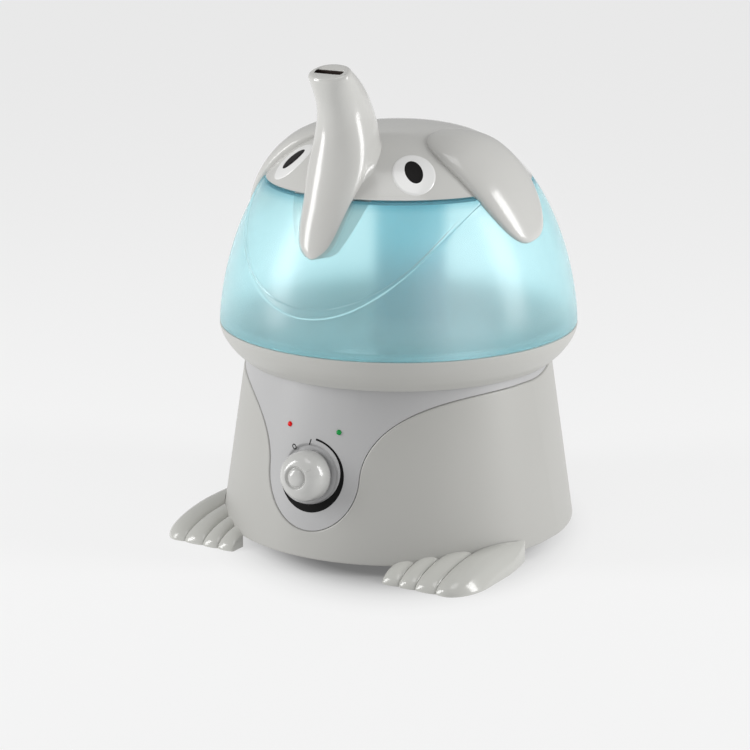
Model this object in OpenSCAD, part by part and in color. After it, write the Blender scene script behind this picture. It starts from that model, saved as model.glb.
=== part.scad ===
// Elephant-shaped ultrasonic cool mist humidifier.
// Z is up, the face and the dial look along -Y, and the origin is on the body's
// vertical axis at the level of the surface that the humidifier stands on.

/* [Base] */
// Height of the casing's lower edge above the surface
stand_h = 8; // [6:0.5:12]
// Height of the tapered casing
casing_h = 117; // [110:1:145]
// Radius of the casing at its lower edge
base_r = 124.5; // [122:0.5:150]
// Radius of the casing at its neck, under the bowl
neck_r = 107.2; // [104:0.2:128]
// Thickness of the casing wall
casing_t = 3; // [2.6:0.1:4]
// Height of the flared bowl between casing and tank
bowl_h = 24; // [20:0.5:30]
// Thickness of the bowl wall and of its floor
bowl_t = 2.5; // [2:0.1:3.5]
// Thickness of the bottom cover
cover_t = 2.5; // [2:0.1:4]

/* [Control panel] */
// Height of the dial's centre above the surface
dial_z = 64; // [56:1:78]
// Half width of the panel's rounded tongue
tongue_w = 36; // [30:0.5:44]
// Depth of the tongue below the dial's centre
tongue_h = 38; // [32:0.5:46]
// How far the panel's face lies below the casing's surface
panel_sink = 0.7; // [0.4:0.1:1.2]
// Thickness of the panel
panel_t = 1.3; // [1:0.1:1.6]
// Radius of the dial knob
knob_r = 18.5; // [14:0.5:21]
// How far the knob stands out
knob_h = 15; // [11:0.5:19]
// Radius of the dial's shaft
shaft_r = 3; // [2.5:0.1:4]
// Radius of each indicator lamp
lamp_r = 1.5; // [1:0.1:2.5]

/* [Tank] */
// Largest radius of the tank
tank_r = 125; // [122:0.5:150]
// Height of the whole dome, from the tank's seam to the top of the head
dome_h = 136.5; // [125:0.5:165]
// Height of the tank's visible wall
tank_h = 100.5; // [92:0.5:110]
// Thickness of the tank wall
tank_t = 2.5; // [2:0.1:3.5]
// Inner radius of the mist chimney
chimney_r = 22.5; // [18:0.5:25]
// Inner radius of the filling neck
neck_bore_r = 26; // [20:0.5:27]
// Travel of the valve plunger
valve_travel = 4; // [3:0.5:5]

/* [Head] */
// Thickness of the head's shell
head_t = 2.5; // [2:0.1:3.5]
// Height of the trunk's mouth above the seam
trunk_h = 183; // [172:1:200]
// Thickness of the trunk's wall
trunk_t = 2.4; // [2:0.1:3]
// Thickness of the ears
ear_t = 6; // [4:0.5:8]
// Half width of an ear
ear_w = 27; // [20:0.5:30]

/* [Feet] */
// Height of the elephant feet
foot_h = 17; // [14:0.5:22]
// How far the toes reach in front of the body's axis
toe_y = 122; // [118:1:140]

/* [Hidden] */
$fn = 96;

// Clearances
gap = 0.3;         // between separate mouldings
hair = 0.1;        // between pieces that are fixed to each other
run = 0.05;        // between a shaft and its bore
eps = 0.01;

// Levels of the main joints
collar_z = stand_h + casing_h;
seam_z = collar_z + bowl_h;
lid_z = seam_z + tank_h;
apex_z = seam_z + dome_h;
cover_z = stand_h;
tray_z = collar_z - 3.5;       // upper face of the bowl's floor
shelf_z = collar_z + 6;        // where the tank's floor rests
tray_r = neck_r - casing_t - gap - bowl_t;

// The casing is a cone
taper = (base_r - neck_r) / casing_h;
tilt = atan(taper);
function casing_r(z) = base_r - taper * (z - stand_h);

// The dome is a superellipse: its radius falls from tank_r to 0 with the angle t
dome_a = 0.649;
dome_b = 1.253;
function dome_r(t) = tank_r * pow(cos(t), dome_a);
function dome_z(t) = seam_z + dome_h * pow(sin(t), dome_b);
function dome_t(z) = asin(pow(min(1, max(0, (z - seam_z) / dome_h)), 1 / dome_b));
function dome_r_at(z) = dome_r(dome_t(z));
function dome_t_at(r) = acos(pow(min(1, r / tank_r), 1 / dome_a));
function dome_normal(t) =
    let (a = min(89, max(1, t)),
        n = [dome_h * dome_b * pow(sin(a), dome_b - 1) * cos(a), tank_r * dome_a * pow(cos(a), dome_a - 1) * sin(a)])
    n / norm(n);
// Profile of the dome between two angles, grown along its normal. The steps between the
// ends are the same for every piece, so that nested surfaces stay parallel.
dome_step = 3;
function dome_profile(t0, t1, grow = 0) =
    [for (t = concat([t0], [for (k = [ceil(t0 / dome_step + 0.2):floor(t1 / dome_step - 0.2)]) k * dome_step], [t1]))
        [max(0, dome_r(t) + grow * dome_normal(t).x), dome_z(t) + grow * dome_normal(t).y]];
function reverse(list) = [for (i = [len(list) - 1:-1:0]) list[i]];

// Wells in the bowl's floor: place, inner radius and floor level
mist_c = [0, 16];
mist_r = 34;
mist_z = collar_z - 33;
valve_c = [0, -58];
valve_r = 36;
valve_z = collar_z - 25;
float_c = [62, 22];
float_r = 16;
float_z = valve_z;
duct_c = [-57, 36];
duct_r = 18;

// Fan
fan_w = 60;
fan_d = 15;
fan_z = cover_z + cover_t + 1;
fan_bore = 27;
fan_top = fan_z + fan_d;

// Dial frame: +Z points out of the panel's face
module at_dial(z = dial_z) {
    translate([0, -(casing_r(z) - panel_sink), z]) rotate([90 - tilt, 0, 0]) children();
}

// Places of repeated pieces, as angles from the front and radii
screw_a = [0, 88, 150, -150, -88];
screw_ring = base_r - casing_t - 6.5;
pad_a = [16, -16, 140, -140];
pad_ring = base_r - 36;
foot_screw_x = [72, 86];
foot_screw_y = -76;
lamp_z = dial_z + 31.5;
lamp_x = 19.6;
holder_screw_r = 18;
flare_w = neck_r - tongue_w + 0.8;
flare_h = collar_z - 6 - dial_z;

function polar(a, r) = [r * sin(a), -r * cos(a)];
function mix(a, b, s) = a + (b - a) * s;

// ---------------------------------------------------------------- helpers

module ring(r_out, r_in, h) {
    difference() {
        cylinder(r = r_out, h = h);
        translate([0, 0, -1]) cylinder(r = r_in, h = h + 2);
    }
}

module well(c, r, z) {
    translate([c.x, c.y, z - bowl_t]) cylinder(r = r + bowl_t, h = tray_z - z + bowl_t);
}

// Solid between two lists of rings with equal numbers of points
module loft(rings) {
    n = len(rings[0]);
    m = len(rings);
    points = [for (r = rings) each r];
    sides = [for (i = [0:m - 2], j = [0:n - 1])
        let (a = i * n + j, b = i * n + (j + 1) % n)
        each [[a, a + n, b + n], [a, b + n, b]]];
    start = [[for (j = [0:n - 1]) j]];
    end = [[for (j = [n - 1:-1:0]) (m - 1) * n + j]];
    polyhedron(points, concat(start, sides, end), convexity = 6);
}

module pan_screw(shank_r, shank_l, head_r, head_h) {
    difference() {
        union() {
            cylinder(r = shank_r, h = shank_l);
            translate([0, 0, -head_h]) cylinder(r = head_r, h = head_h);
        }
        for (a = [0, 90]) rotate([0, 0, a])
            translate([-head_r * 0.6, -head_r * 0.12, -head_h - 1]) cube([head_r * 1.2, head_r * 0.24, head_h * 0.5 + 1]);
    }
}

module board(w, d, t = 1.6) {
    translate([-w / 2, -d / 2, 0]) cube([w, d, t]);
}

// ---------------------------------------------------------------- base

// Shell of the casing cone between two depths below its surface
module casing_skin(depth0, depth1) {
    top = collar_z;
    rotate_extrude() polygon([
        [casing_r(stand_h) - depth0, stand_h], [casing_r(top) - depth0, top],
        [casing_r(top) - depth1, top], [casing_r(stand_h) - depth1, stand_h]]);
}

// Outline of the panel: a half ellipse below, two elliptical flares, a band on top
function panel_outline(inset) =
    let (
        tongue = [for (a = [-90:9:-9]) [(tongue_w - inset) * cos(a), dial_z + (tongue_h - inset) * sin(a)]],
        flare = [for (a = [0:6:90])
            [tongue_w + flare_w - (flare_w + inset) * cos(a), dial_z + (flare_h + inset) * sin(a)]],
        side = concat(tongue, flare, [[base_r + 5, dial_z + flare_h + inset], [base_r + 5, collar_z + 1]]))
    concat(side, [for (i = [len(side) - 1:-1:1]) [-side[i].x, side[i].y]]);

// The panel's outline as a block that covers the front half, with tails that run back
module panel_block(inset = 0) {
    rotate([90, 0, 0]) linear_extrude(base_r + 5) polygon(panel_outline(inset));
    tail = 50 - inset;
    band_z = dial_z + flare_h + inset;
    rotate([90, 0, 90]) translate([0, 0, -base_r - 5]) linear_extrude(2 * base_r + 10)
        polygon([[-1, band_z], [tail * 0.4, band_z], [tail * 0.75, mix(band_z, collar_z, 0.35)],
            [tail, collar_z + 1], [-1, collar_z + 1]]);
}

module base_shell() {
    window = [tongue_w - 10, 62];
    color([0.75, 0.75, 0.73]) difference() {
        union() {
            casing_skin(0, casing_t);
            intersection() {
                cylinder(r1 = casing_r(0) - 1, r2 = casing_r(100) - 1, h = 100);
                for (a = screw_a) let (p = polar(a, screw_ring))
                    translate([p.x, p.y, cover_z + cover_t]) cylinder(r = 4, h = 30);
            }
        }
        intersection() {
            casing_skin(-2, panel_sink + panel_t);
            panel_block();
        }
        translate([-window.x, -base_r - 1, dial_z - 20]) cube([2 * window.x, 40, window.y - 4]);
        for (a = screw_a) let (p = polar(a, screw_ring))
            translate([p.x, p.y, cover_z]) cylinder(r = 1.5, h = 25);
        translate([0, base_r - 20, 26]) rotate([-90, 0, 0]) cylinder(r = gland_r, h = 30);
    }
}

module front_panel() {
    color([0.75, 0.75, 0.76]) difference() {
        intersection() {
            casing_skin(panel_sink, panel_sink + panel_t - run);
            panel_block(gap);
        }
        at_dial() translate([0, 0, -10]) cylinder(r = shaft_r + 1 + hair, h = 20);
        at_dial() translate([0, 0, -0.5]) cylinder(r = knob_r + 1.5, h = 10);
        for (s = [-1, 1]) translate([s * lamp_x, 0, 0]) at_dial(lamp_z)
            translate([0, 0, -10]) cylinder(r = lamp_r + hair, h = 20);
        translate([0, 0, collar_z - gap]) cylinder(r = base_r, h = 5);
    }
}

// Printed crescent round the dial, from its top clockwise, thickest under the knob
mark_start = 83;
mark_end = -155;
mark_r = knob_r + 7;
module dial_marks() {
    steps = 24;
    function angle(s) = mix(mark_start, mark_end, s);
    function width(s) = mix(1.4, 0.1, s) + 4.6 * pow(sin(180 * pow(s, 1.75)), 1.4);
    outer = [for (i = [0:steps]) let (a = angle(i / steps)) mark_r * [cos(a), sin(a)]];
    inner = [for (i = [steps:-1:0]) let (s = i / steps, a = angle(s)) (mark_r - width(s)) * [cos(a), sin(a)]];
    color("black") intersection() {
        casing_skin(panel_sink - 0.25, panel_sink - run);
        at_dial() translate([0, 0, -3]) linear_extrude(8) polygon(concat(outer, inner));
    }
}

// Bowl moulding with its wells, air riser, valve post and float post
module basin() {
    lip_r = neck_r + 2.1;
    crease = [lip_r + 8, collar_z + 7.5];
    flare = [for (s = [0:0.125:1])
        [mix(crease.x, tank_r, 1 - pow(1 - s, 1.7)), mix(crease.y, seam_z - 0.6, s)]];
    inside = [for (i = [len(flare) - 1:-1:0]) [flare[i].x - bowl_t, flare[i].y]];
    color([0.76, 0.76, 0.74]) difference() {
        union() {
            rotate_extrude() polygon(concat([[lip_r, collar_z]], flare, inside,
                [[tray_r + bowl_t, tray_z + 2.5], [tray_r, tray_z], [0, tray_z], [0, tray_z - bowl_t],
                 [tray_r, tray_z - bowl_t], [tray_r, collar_z - 13], [tray_r + bowl_t, collar_z - 13],
                 [tray_r + bowl_t, collar_z]]));
            well(mist_c, mist_r, mist_z);
            well(valve_c, valve_r, valve_z);
            well(float_c, float_r, float_z);
            translate([0, 0, tray_z - eps]) ring(tray_r - 1, tray_r - 4, shelf_z - tray_z + eps);
            translate([duct_c.x, duct_c.y, tray_z - bowl_t]) cylinder(r = duct_r, h = bowl_t + 6);
        }
        translate([mist_c.x, mist_c.y, mist_z]) cylinder(r = mist_r, h = 100);
        translate([mist_c.x, mist_c.y, mist_z - 10]) cylinder(r = 10.5, h = 20);
        translate([valve_c.x, valve_c.y, valve_z]) cylinder(r = valve_r, h = 100);
        translate([float_c.x, float_c.y, float_z]) cylinder(r = float_r, h = 100);
        translate([duct_c.x, duct_c.y, tray_z - 10]) cylinder(r = duct_r - bowl_t, h = 40);
        translate([-8, valve_c.y + 20, valve_z + 4]) cube([16, 50, 40]);
        translate([mist_c.x + 20, mist_c.y - 1, valve_z + 4]) cube([32, 10, 40]);
        for (a = [0:120:240]) rotate_at(mist_c, a)
            translate([holder_screw_r, 0, mist_z - 6]) cylinder(r = 1.2, h = 5);
    }
    color([0.76, 0.76, 0.74]) {
        translate([valve_c.x, valve_c.y, valve_z - 1]) cylinder(r = 3.5, h = plunger_z - valve_z + 1);
        translate([float_c.x, float_c.y, float_z - 1]) cylinder(r = 3, h = tray_z - float_z);
    }
}

module rotate_at(c, a) {
    translate([c.x, c.y, 0]) rotate([0, 0, a]) children();
}

module bottom_cover() {
    color([0.62, 0.62, 0.61]) difference() {
        union() {
            translate([0, 0, cover_z]) cylinder(r = base_r - casing_t - gap - 0.5, h = cover_t);
            for (x = foot_screw_x, s = [-1, 1])
                translate([s * x, foot_screw_y, cover_z]) cylinder(r = 3.5, h = 10);
            for (p = board_posts)
                translate([p.x, p.y, cover_z]) cylinder(r = 3, h = board_z - cover_z);
        }
        for (a = screw_a) let (p = polar(a, screw_ring))
            translate([p.x, p.y, cover_z - 1]) cylinder(r = 1.8, h = 10);
        for (x = foot_screw_x, s = [-1, 1])
            translate([s * x, foot_screw_y, cover_z - 1]) cylinder(r = 1.45, h = 9);
        for (i = [-4:4]) let (l = sqrt(fan_bore * fan_bore - 36 * i * i / 1.35) * 1.8)
            translate([duct_c.x - l / 2, duct_c.y + i * 5.6 - 1.5, cover_z - 1]) cube([l, 3, 10]);
    }
}

// One elephant foot with four toes, the large outer one on +X, and its fixing tab
toe_x = [60, 73, 85.5, 101, 125];
module right_foot_shape() {
    wall_y = 140;
    arches = [for (i = [0:3], k = [0:7])
        let (s = k / 8, valley = i == 3 && s > 0.5 ? 1 : 0.24)
        [mix(toe_x[i], toe_x[i + 1], s), foot_h * (1 - valley * (1 - sqrt(1 - pow(2 * s - 1, 2))))]];
    rise = [for (s = [0:0.1:1]) [-toe_y + 60 * (1 - cos(90 * s)), foot_h * sin(90 * s)]];
    corner = toe_x[4] - 16;
    outline = concat([[toe_x[0], -60], [toe_x[0], -toe_y + 4], [toe_x[0] + 3, -toe_y + 1], [corner - 8, -toe_y]],
        [for (a = [-75:15:0]) [corner + 16 * cos(a), -toe_y + 26 + 26 * sin(a)]],
        [[toe_x[4], -62], [toe_x[4] - 2, -46], [toe_x[4] - 7, -31], [toe_x[4] - 20, -28]]);
    intersection() {
        linear_extrude(foot_h + 1) polygon(outline);
        rotate([90, 0, 0]) linear_extrude(wall_y) polygon(concat(
            [[toe_x[0], -1]], arches, [[toe_x[4], 2], [toe_x[4], -1]]));
        rotate([90, 0, 90]) linear_extrude(wall_y) polygon(concat(
            [[-toe_y, -1]], rise, [[0, foot_h], [0, -1]]));
    }
}

module foot() {
    color([0.72, 0.72, 0.7]) difference() {
        union() {
            difference() {
                right_foot_shape();
                translate([0, 0, -1]) cylinder(r = base_r + gap, h = stand_h + 1);
                translate([0, 0, stand_h - eps]) cylinder(r1 = base_r + gap, r2 = base_r + gap - taper * 20, h = 20);
            }
            intersection() {
                translate([toe_x[0] + 6, -112, 4.5]) cube([36, 48, stand_h - 4.5]);
                cylinder(r = base_r + 1, h = 20);
            }
        }
        for (x = foot_screw_x) translate([x, foot_screw_y, 0]) cylinder(r = 1.7, h = 20);
    }
}

module right_foot() foot();
module left_foot() mirror([1, 0, 0]) foot();

module rubber_pads() {
    color([0.15, 0.15, 0.16]) for (a = pad_a) let (p = polar(a, pad_ring))
        translate([p.x, p.y, 0]) cylinder(r = 7, h = cover_z);
}

module cover_screws() {
    color("silver") for (a = screw_a) let (p = polar(a, screw_ring))
        translate([p.x, p.y, cover_z]) pan_screw(1.4, 16, 3, 2);
}

module foot_screws() {
    color("silver") for (x = foot_screw_x, s = [-1, 1])
        translate([s * x, foot_screw_y, 4.5]) pan_screw(1.35, 10, 3, 2);
}

// ---------------------------------------------------------------- fan and air duct

module fan_housing() {
    arm = fan_bore - 9;
    color([0.12, 0.12, 0.13]) translate([duct_c.x, duct_c.y, fan_z]) {
        difference() {
            board(fan_w, fan_w, fan_d);
            translate([0, 0, -1]) cylinder(r = fan_bore, h = fan_d + 2);
            for (x = [-25, 25], y = [-25, 25]) translate([x, y, -1]) cylinder(r = 1.8, h = fan_d + 2);
        }
        for (a = [45:120:285]) rotate([0, 0, a]) translate([8, -1.5, 0]) cube([arm + 2, 3, 1.6]);
        cylinder(r = 9, h = 2.4);
        cylinder(r = 1.5, h = fan_d - 4);
    }
}

module fan_rotor() {
    blades = 7;
    tip_r = fan_bore - 1;
    color([0.2, 0.2, 0.22]) translate([duct_c.x, duct_c.y, fan_z]) difference() {
        union() {
            translate([0, 0, 3.2]) cylinder(r = 11, h = fan_d - 4.7);
            for (i = [0:blades - 1]) rotate([0, 0, i * 360 / blades])
                translate([9, 0, fan_d / 2 + 0.8]) rotate([35, 0, 0]) translate([0, -5, -0.6]) cube([tip_r - 9.8, 10, 1.2]);
        }
        translate([0, 0, 3.1]) ring(9.5, 3, fan_d - 6.5);
        translate([0, 0, -1]) cylinder(r = 1.5 + run, h = fan_d - 2.6);
    }
}

module fan_duct() {
    foot_r = fan_bore + 2.5;
    top_r = duct_r;
    color([0.8, 0.8, 0.78]) translate([duct_c.x, duct_c.y, 0]) difference() {
        union() {
            translate([0, 0, fan_top + hair]) board(fan_w, fan_w, 2);
            rotate_extrude() polygon([[0, fan_top + hair], [foot_r, fan_top + hair], [foot_r, fan_top + 8],
                [top_r, fan_top + 26], [top_r, tray_z - bowl_t - hair], [0, tray_z - bowl_t - hair]]);
        }
        rotate_extrude() polygon([[0, fan_top - 1], [foot_r - 2, fan_top - 1], [foot_r - 2, fan_top + 7.5],
            [top_r - 2, fan_top + 25.5], [top_r - 2, tray_z], [0, tray_z]]);
        for (x = [-25, 25], y = [-25, 25]) translate([x, y, fan_top - 1]) cylinder(r = 1.8, h = 8);
    }
}

// ---------------------------------------------------------------- mist generator

seal_h = 3.2;
well_under = mist_z - bowl_t;
module transducer_disc() {
    color([0.85, 0.8, 0.6]) translate([mist_c.x, mist_c.y, well_under - 2.2]) cylinder(r = 12.5, h = 1.2);
}

module transducer_seal() {
    color([0.2, 0.2, 0.2]) translate([mist_c.x, mist_c.y, well_under - seal_h]) difference() {
        cylinder(r = 15, h = seal_h - hair);
        translate([0, 0, -1]) cylinder(r = 10.5, h = seal_h + 2);
        translate([0, 0, seal_h - 2.2 - run]) cylinder(r = 12.5 + run, h = 1.2 + 2 * run);
    }
}

module transducer_holder() {
    color([0.8, 0.8, 0.82]) translate([mist_c.x, mist_c.y, well_under - 9]) difference() {
        cylinder(r = 22, h = 9 - hair);
        translate([0, 0, 9 - seal_h - hair]) cylinder(r = 15 + hair, h = 10);
        translate([0, 0, -1]) cylinder(r = 9, h = 20);
        for (a = [0:120:240]) rotate([0, 0, a]) translate([holder_screw_r, 0, -1]) cylinder(r = 1.4, h = 20);
    }
}

module holder_screws() {
    color("silver") for (a = [0:120:240]) rotate_at(mist_c, a)
        translate([holder_screw_r, 0, well_under - 9]) pan_screw(1.1, 9 + bowl_t - 1, 2.4, 1.6);
}

// ---------------------------------------------------------------- electronics

board_z = cover_z + cover_t + 5;
driver_c = [24, -34];
power_c = [48, 46];
board_posts = [for (x = [-28, 28], y = [-18, 18]) each [
    [driver_c.x + x, driver_c.y + y], [power_c.x + x, power_c.y + y]]];

module driver_board() {
    color([0.1, 0.4, 0.2]) translate([driver_c.x, driver_c.y, board_z]) {
        board(64, 44);
        translate([-24, -14, 1.6]) cylinder(r = 6, h = 12);
        translate([20, -16, 1.6]) board(12, 8, 9);
    }
}

module heat_sink() {
    color([0.75, 0.75, 0.77]) translate([driver_c.x - 2, driver_c.y + 8, board_z + 1.6]) {
        board(32, 18, 3);
        for (i = [-3:3]) translate([i * 5, 0, 3 - eps]) board(1.4, 18, 20);
    }
}

module power_board() {
    color([0.1, 0.35, 0.25]) translate([power_c.x, power_c.y, board_z]) board(64, 44);
}

module transformer() {
    color([0.55, 0.4, 0.2]) translate([power_c.x - 12, power_c.y, board_z + 1.6]) {
        board(34, 30, 5);
        translate([0, 0, 5]) board(24, 28, 18);
        translate([0, 0, 23]) board(34, 30, 5);
    }
}

module capacitors() {
    color([0.15, 0.2, 0.4]) for (y = [-12, 0, 12])
        translate([power_c.x + 20, power_c.y + y, board_z + 1.6]) cylinder(r = 5, h = 18);
}

gland_r = 6.5;
gland_z = 26;
module cord_gland() {
    wall_y = casing_r(gland_z);
    color([0.2, 0.2, 0.2]) translate([0, wall_y, gland_z]) rotate([-90, 0, 0]) difference() {
        union() {
            translate([0, 0, -casing_t - 4]) cylinder(r = gland_r + 1.5, h = 2);
            translate([0, 0, -casing_t - 3]) cylinder(r = gland_r - hair, h = casing_t + 5);
            translate([0, 0, 1.6]) cylinder(r = gland_r + 1.5, h = 2);
            translate([0, 0, 3]) cylinder(r = gland_r - 1.5, h = 7);
        }
        translate([0, 0, -20]) cylinder(r = 3.2, h = 40);
    }
}

// ---------------------------------------------------------------- dial

pot_r = 12;
// The panel's back is curved, so the flat face of what sits behind it stands off a little
panel_back = -panel_t - pot_r * pot_r / 2 / neck_r - gap;
module potentiometer() {
    color([0.55, 0.56, 0.58]) at_dial() difference() {
        union() {
            translate([0, 0, panel_back - 10]) cylinder(r = pot_r, h = 10);
            translate([0, 0, panel_back - 1]) cylinder(r = shaft_r + 1, h = 4.2);
            for (x = [-5, 0, 5]) translate([x - 0.6, -pot_r - 5, panel_back - 9]) cube([1.2, 8, 0.6]);
        }
        translate([0, 0, panel_back - 8]) cylinder(r = shaft_r + run, h = 20);
    }
}

module pot_nut() {
    color("silver") at_dial() translate([0, 0, -0.4]) difference() {
        cylinder(r = shaft_r + 3.5, h = 1.8, $fn = 6);
        translate([0, 0, -1]) cylinder(r = shaft_r + 1 + hair, h = 5, $fn = 96);
    }
}

module pot_shaft() {
    color([0.8, 0.8, 0.82]) at_dial() translate([0, 0, panel_back - 8 + hair])
        cylinder(r = shaft_r, h = knob_h - panel_back + 3);
}

module knob() {
    rim = 0.5;
    button_r = knob_r * 0.33;
    dome = [for (a = [0:10:60]) [knob_r * pow(cos(a), 0.75), mix(knob_h * 0.22, knob_h, sin(a) / sin(60))]];
    color([0.77, 0.77, 0.75]) at_dial() difference() {
        rotate_extrude() polygon(concat([[0, rim], [knob_r - 0.4, rim], [knob_r, rim + 0.5]], dome,
            [[button_r + 1.6, knob_h], [button_r + 1, knob_h - 1.4], [button_r, knob_h - 1.4],
             [button_r - 0.6, knob_h + 0.5], [button_r * 0.5, knob_h + 1.2], [0, knob_h + 1.4]]));
        difference() {
            translate([0, 0, -1]) cylinder(r = knob_r - 2.5, h = knob_h * 0.5 + 1);
            translate([0, 0, 2.2]) cylinder(r = shaft_r + 2.5, h = knob_h);
        }
        translate([0, 0, -1]) cylinder(r = shaft_r + run, h = knob_h - 3);
        rotate([0, 0, 38]) translate([button_r + 3, -0.4, knob_h - 0.9]) rotate([0, 24, 0]) cube([5.5, 0.8, 2]);
    }
}

// ---------------------------------------------------------------- lamps

module lamp_board() {
    color([0.1, 0.4, 0.2]) at_dial(lamp_z) translate([0, 0, panel_back - 7]) board(52, 12);
}

module lamp(s, tone) {
    color(tone) translate([s * lamp_x, 0, 0]) at_dial(lamp_z) translate([0, 0, panel_back - 5.4 + hair]) {
        cylinder(r = lamp_r, h = 5.4 - panel_back - 2.2);
        cylinder(r = lamp_r + 0.4, h = 1.2);
        translate([0, 0, 5.4 - panel_back - 2.2]) sphere(r = lamp_r);
    }
}

module red_lamp() lamp(-1, [0.8, 0.05, 0.05]);
module green_lamp() lamp(1, [0.05, 0.6, 0.2]);

// ---------------------------------------------------------------- float

float_h = 8;
module float() {
    color([0.9, 0.9, 0.9]) translate([float_c.x, float_c.y, float_z + 0.5]) difference() {
        cylinder(r = float_r - 2.5, h = float_h);
        translate([0, 0, -1]) cylinder(r = 3 + run, h = float_h + 2);
        translate([0, 0, -1]) ring(8, 5, 4);
    }
}

module float_magnet() {
    color([0.3, 0.3, 0.32]) translate([float_c.x, float_c.y, float_z + 0.5]) ring(8 - run, 5 + run, 3 - run);
}

module float_clip() {
    color("silver") translate([float_c.x, float_c.y, tray_z - 1]) {
        cylinder(r = 5.5, h = 1.2);
        translate([0, 0, 1.2 - eps]) cylinder(r = 2, h = 1);
    }
}

module level_switch() {
    color([0.1, 0.3, 0.15]) translate([float_c.x, float_c.y, float_z - bowl_t - 4]) {
        board(24, 10, 1.6);
        translate([0, 0, 1.6]) board(14, 3, 2.2);
    }
}

// ---------------------------------------------------------------- tank

deck_t = 2.5;
seat_drop = 1;
upstand_r = dome_r_at(lid_z) - 7;
module tank_shell() {
    deck_z = lid_z - seat_drop;
    outer = dome_profile(0, dome_t(deck_z));
    under = deck_z - deck_t;
    inner = reverse([for (p = dome_profile(0, dome_t(under - 1), -tank_t)) [p.x, max(seam_z, p.y)]]);
    color([0.6, 0.8, 0.84, 0.7]) difference() {
        rotate_extrude() polygon(concat(outer, [[upstand_r, deck_z], [upstand_r, deck_z + 5],
            [upstand_r - tank_t, deck_z + 5], [upstand_r - tank_t, deck_z], [0, deck_z], [0, under], [inner[0].x - 1, under]],
            inner));
        translate([mist_c.x, mist_c.y, deck_z - 10]) cylinder(r = chimney_r + tank_t + hair, h = 20);
    }
}

// Filling neck, its cap and the valve in the cap, shown pushed open by the post in the bowl
floor_t = 2.5;
cap_t = 2.5;
cap_floor_z = valve_z + 12;
neck_end_z = cap_floor_z + 4.5;
plunger_z = cap_floor_z - 6;
stem_r = 2.2;
seal_r = 12;
seal_z = cap_floor_z + cap_t + valve_travel + hair;
spring_z = seal_z + 4.2;
spring_h = 9;
cage_r = seal_r + 4;
cage_h = spring_z + spring_h + hair - cap_floor_z - cap_t;

// Floor of the tank, with the filling neck
module tank_floor() {
    skirt_r = tank_r - tank_t - hair;
    plate_r = tray_r + 5;
    color([0.55, 0.78, 0.82, 0.8]) difference() {
        union() {
            rotate_extrude() polygon([[0, shelf_z], [plate_r, shelf_z], [tank_r - 7.5, seam_z - 3], [tank_r - 7.5, seam_z + hair],
                [skirt_r, seam_z + hair], [skirt_r, seam_z + 2.5], [tank_r - 10, seam_z + 2.5], [tank_r - 10, seam_z - 2.5],
                [plate_r - 2, shelf_z + floor_t], [0, shelf_z + floor_t]]);
            translate([valve_c.x, valve_c.y, neck_end_z]) cylinder(r = neck_bore_r + 2.5, h = shelf_z - neck_end_z + 1);
        }
        translate([valve_c.x, valve_c.y, neck_end_z - 1]) cylinder(r = neck_bore_r, h = 40);
        translate([mist_c.x, mist_c.y, shelf_z - 1]) cylinder(r = chimney_r + tank_t + hair, h = 10);
    }
}

chimney_top = lid_z + 11;
module chimney() {
    color([0.45, 0.7, 0.76, 0.8]) translate([mist_c.x, mist_c.y, 0]) {
        translate([0, 0, tray_z - 6]) ring(chimney_r + tank_t, chimney_r, chimney_top - tray_z + 6);
        translate([0, 0, shelf_z + floor_t + hair]) ring(chimney_r + tank_t + 4, chimney_r + 1, 2.5);
    }
}

module tank_cap() {
    cap_r = neck_bore_r + 2.5 + gap;
    ribs = 24;
    color([0.85, 0.87, 0.88]) translate([valve_c.x, valve_c.y, cap_floor_z]) difference() {
        union() {
            cylinder(r = cap_r + 2.4, h = 13);
            for (i = [0:ribs - 1]) rotate([0, 0, i * 360 / ribs])
                translate([cap_r + 1.2, -0.8, 0.5]) cube([2, 1.6, 12]);
        }
        translate([0, 0, cap_t]) cylinder(r = cap_r, h = 20);
        for (a = [0:60:300]) rotate([0, 0, a]) translate([6.8, 0, -1]) cylinder(r = 2, h = 10);
        translate([0, 0, -1]) cylinder(r = stem_r + run, h = 10);
    }
}

// Cage on the cap's floor: three legs round the seal, and a plate that guides the stem
// and holds the spring's upper end
module valve_cage() {
    color([0.85, 0.87, 0.88]) translate([valve_c.x, valve_c.y, cap_floor_z + cap_t]) {
        ring(cage_r, cage_r - 3, 2);
        for (a = [60:120:300]) rotate([0, 0, a]) translate([cage_r - 2.6, -2, 1]) cube([2, 4, cage_h]);
        translate([0, 0, cage_h]) ring(cage_r, stem_r + run, 2);
    }
}

module cap_gasket() {
    color([0.75, 0.75, 0.75]) translate([valve_c.x, valve_c.y, cap_floor_z + cap_t])
        ring(neck_bore_r + 2.2, neck_bore_r - 1, neck_end_z - cap_floor_z - cap_t);
}

module valve_plunger() {
    color([0.9, 0.9, 0.92]) translate([valve_c.x, valve_c.y, 0]) {
        translate([0, 0, plunger_z]) cylinder(r = stem_r, h = spring_z + spring_h + 7 - plunger_z);
        translate([0, 0, seal_z + 2.1]) cylinder(r = seal_r - 3, h = 2);
    }
}

module valve_seal() {
    color([0.25, 0.25, 0.26]) translate([valve_c.x, valve_c.y, seal_z]) ring(seal_r, stem_r + run, 2);
}

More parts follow.
